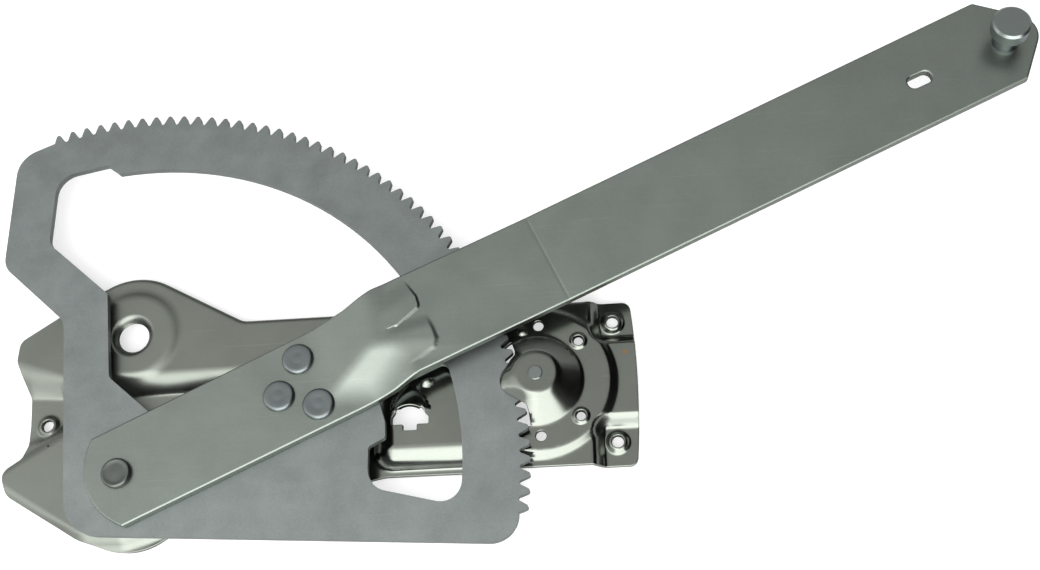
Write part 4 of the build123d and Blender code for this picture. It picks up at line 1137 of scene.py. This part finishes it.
# Surroundings, camera and floor
def direction_world():
    """Surroundings in the metal: bright in front, dark to the right and behind, plain above."""
    world = bpy.data.worlds.new("studio")
    bpy.context.scene.world = world
    n = Nodes(world)
    out = n.add("ShaderNodeOutputWorld")
    shade = n.add("ShaderNodeBackground")
    n.link(shade.outputs[0], out.inputs[0])
    parts = n.add("ShaderNodeSeparateXYZ")
    n.link(n.add("ShaderNodeTexCoord").outputs["Generated"], parts.inputs[0])
    x, y = parts.outputs[:2]
    left = n.math("MULTIPLY", x, -1.0)
    front = n.share(n.math("MULTIPLY", y, -1.0), *FRONT_FADE)
    gap = n.math("MULTIPLY", n.share(x, *FRONT_GAP_X), n.share(y, *FRONT_GAP_Y))
    front = n.dimmed(front, gap, FRONT_GAP_LOSS)
    front = n.dimmed(front, n.share(left, *FRONT_LEFT_FADE), FRONT_LEFT_LOSS)
    level = n.math("ADD", WORLD_PLAIN, n.math("MULTIPLY", front, WORLD_FRONT))
    soft = n.math("MULTIPLY", n.share(y, *SOFT_Y), n.share(left, *SOFT_LEFT_FADE))
    level = n.math("ADD", level, n.math("MULTIPLY", soft, WORLD_SOFT))
    fall = n.math("MULTIPLY", n.math("MAXIMUM", x, 0.0), RIGHT_FALL)
    level = n.math("SUBTRACT", level, fall)
    right = n.math("ADD", x, n.math("MULTIPLY", n.math("MINIMUM", y, 0.0), RIGHT_LEAN))
    level = n.dimmed(level, n.share(right, *RIGHT_FADE), RIGHT_LOSS)
    level = n.dimmed(level, n.share(y, *BACK_FADE), BACK_LOSS)
    corner = n.math("MULTIPLY", n.share(left, *CORNER_LEFT_FADE), n.share(y, *CORNER_Y))
    level = n.dimmed(level, corner, CORNER_LOSS)
    # The camera itself sees plain white round the floor
    seen = n.add("ShaderNodeLightPath").outputs["Is Camera Ray"]
    level = n.math("ADD", seen, n.dimmed(level, seen, 1.0))
    n.link(level, shade.inputs["Strength"])
    shade.inputs["Color"].default_value = (1.0, 1.0, 1.0, 1)


def camera():
    """Camera at the photograph's place and angle."""
    data = bpy.data.cameras.new("camera")
    data.lens = CAMERA_LENS
    data.sensor_width = CAMERA_SENSOR
    data.clip_start = CAMERA_NEAR
    eye = Vector(CAMERA_EYE) * MM
    roll = radians(CAMERA_ROLL)
    ahead = (Vector(CAMERA_AIM) * MM - eye).normalized()
    right = ahead.cross(Vector((0, 1, 0))).normalized()
    up = right.cross(ahead)
    turned_right = right * cos(roll) - up * sin(roll)
    turned_up = right * sin(roll) + up * cos(roll)
    placed = Matrix((turned_right, turned_up, -ahead)).transposed().to_4x4()
    placed.translation = eye
    holder = bpy.data.objects.new("camera", data)
    holder.matrix_world = placed
    bpy.context.scene.collection.objects.link(holder)
    bpy.context.scene.camera = holder


def floor():
    """Plain light floor that keeps a soft shadow and looks near white to the camera."""
    mesh = bpy.data.meshes.new("floor")
    sides = [(-1, -1), (1, -1), (1, 1), (-1, 1)]
    corners = [(FLOOR_HALF * x, FLOOR_HALF * y, FLOOR_LEVEL) for x, y in sides]
    mesh.from_pydata(corners, [], [(0, 1, 2, 3)])
    ground = bpy.data.objects.new("floor", mesh)
    bpy.context.scene.collection.objects.link(ground)
    material = bpy.data.materials.new("floor_white")
    n = Nodes(material)
    out = n.add("ShaderNodeOutputMaterial")
    matte = n.add("ShaderNodeBsdfDiffuse")
    matte.inputs[0].default_value = (FLOOR_GREY, FLOOR_GREY, FLOOR_GREY, 1)
    glow = n.add("ShaderNodeEmission")
    seen = n.add("ShaderNodeLightPath").outputs["Is Camera Ray"]
    n.link(n.math("MULTIPLY", seen, FLOOR_GLOW), glow.inputs["Strength"])
    both = n.add("ShaderNodeAddShader")
    n.link(matte.outputs[0], both.inputs[0])
    n.link(glow.outputs[0], both.inputs[1])
    n.link(both.outputs[0], out.inputs[0])
    mesh.materials.append(material)


def dress(piece, material):
    """Give one material to a piece."""
    piece.data.materials.clear()
    piece.data.materials.append(material)


def soften(node, width):
    """Small rounded edges on a CAD node."""
    bevel = node.modifiers.new("edges", "BEVEL")
    bevel.width = width * MM
    bevel.segments = BEVEL_SEGMENTS
    bevel.limit_method = "ANGLE"
    bevel.angle_limit = radians(BEVEL_ANGLE)
    bevel.harden_normals = True


# Pieces and their materials
plate_zinc = metal(
    "plate_zinc", (0.184, 0.199, 0.176), 0.19, mottle=0.09, wear=0.12, dull_left=0.15, stains=STAINS
)
sector_zinc = metal("sector_zinc", (0.207, 0.228, 0.222), 0.46, mottle=0.26, scale=1.6, wear=0.06)
arm_zinc = metal(
    "arm_zinc", (0.199, 0.222, 0.199), 0.38, mottle=0.14, grain=0.08, grain_angle=ARM_ANGLE, wear=0.14
)
rivet_steel = metal("rivet_steel", (0.150, 0.168, 0.168), 0.34, mottle=0.2, scale=3.0)
pin_steel = metal("pin_steel", (0.106, 0.116, 0.106), 0.36, mottle=0.3, scale=3.0)
turned_steel = metal("turned_steel", (0.20, 0.223, 0.216), 0.30, mottle=0.08, scale=2.0)
gear_steel = metal("gear_steel", (0.10, 0.10, 0.10), 0.45, mottle=0.1)
bush_bronze = metal("bush_bronze", (0.45, 0.30, 0.14), 0.4, mottle=0.1)

plate = make_plate()
dress(plate, plate_zinc)
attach(plate, "base")
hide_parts("base_plate")

arm = make_arm()
dress(arm, arm_zinc)
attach(arm, "lift")
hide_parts("lift_arm")

rivets = make_rivets()
dress(rivets, rivet_steel)
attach(rivets, "lift")
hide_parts("arm_rivets")

pin = make_pin()
dress(pin, pin_steel)
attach(pin, "base")
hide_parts("pivot_pin")

# Nodes that keep their CAD mesh: material, and width of the rounded edges
FINISHES = {
    "sector_gear": (sector_zinc, 0.25),
    "pivot_spacer": (turned_steel, 0.1),
    "roller_stud": (turned_steel, 0.12),
    "pinion_spindle": (turned_steel, 0.1),
    "spindle_clip": (turned_steel, 0.08),
    "thrust_washer": (turned_steel, 0.1),
    "pivot_bush": (bush_bronze, 0.1),
    "pinion_bush": (bush_bronze, 0.1),
    "drive_pinion": (gear_steel, 0.12),
}
for name, (material, width) in FINISHES.items():
    dress(frame["nodes"][name], material)
    soften(frame["nodes"][name], width)

camera()
direction_world()
floor()
bpy.context.scene.view_settings.view_transform = "Standard"
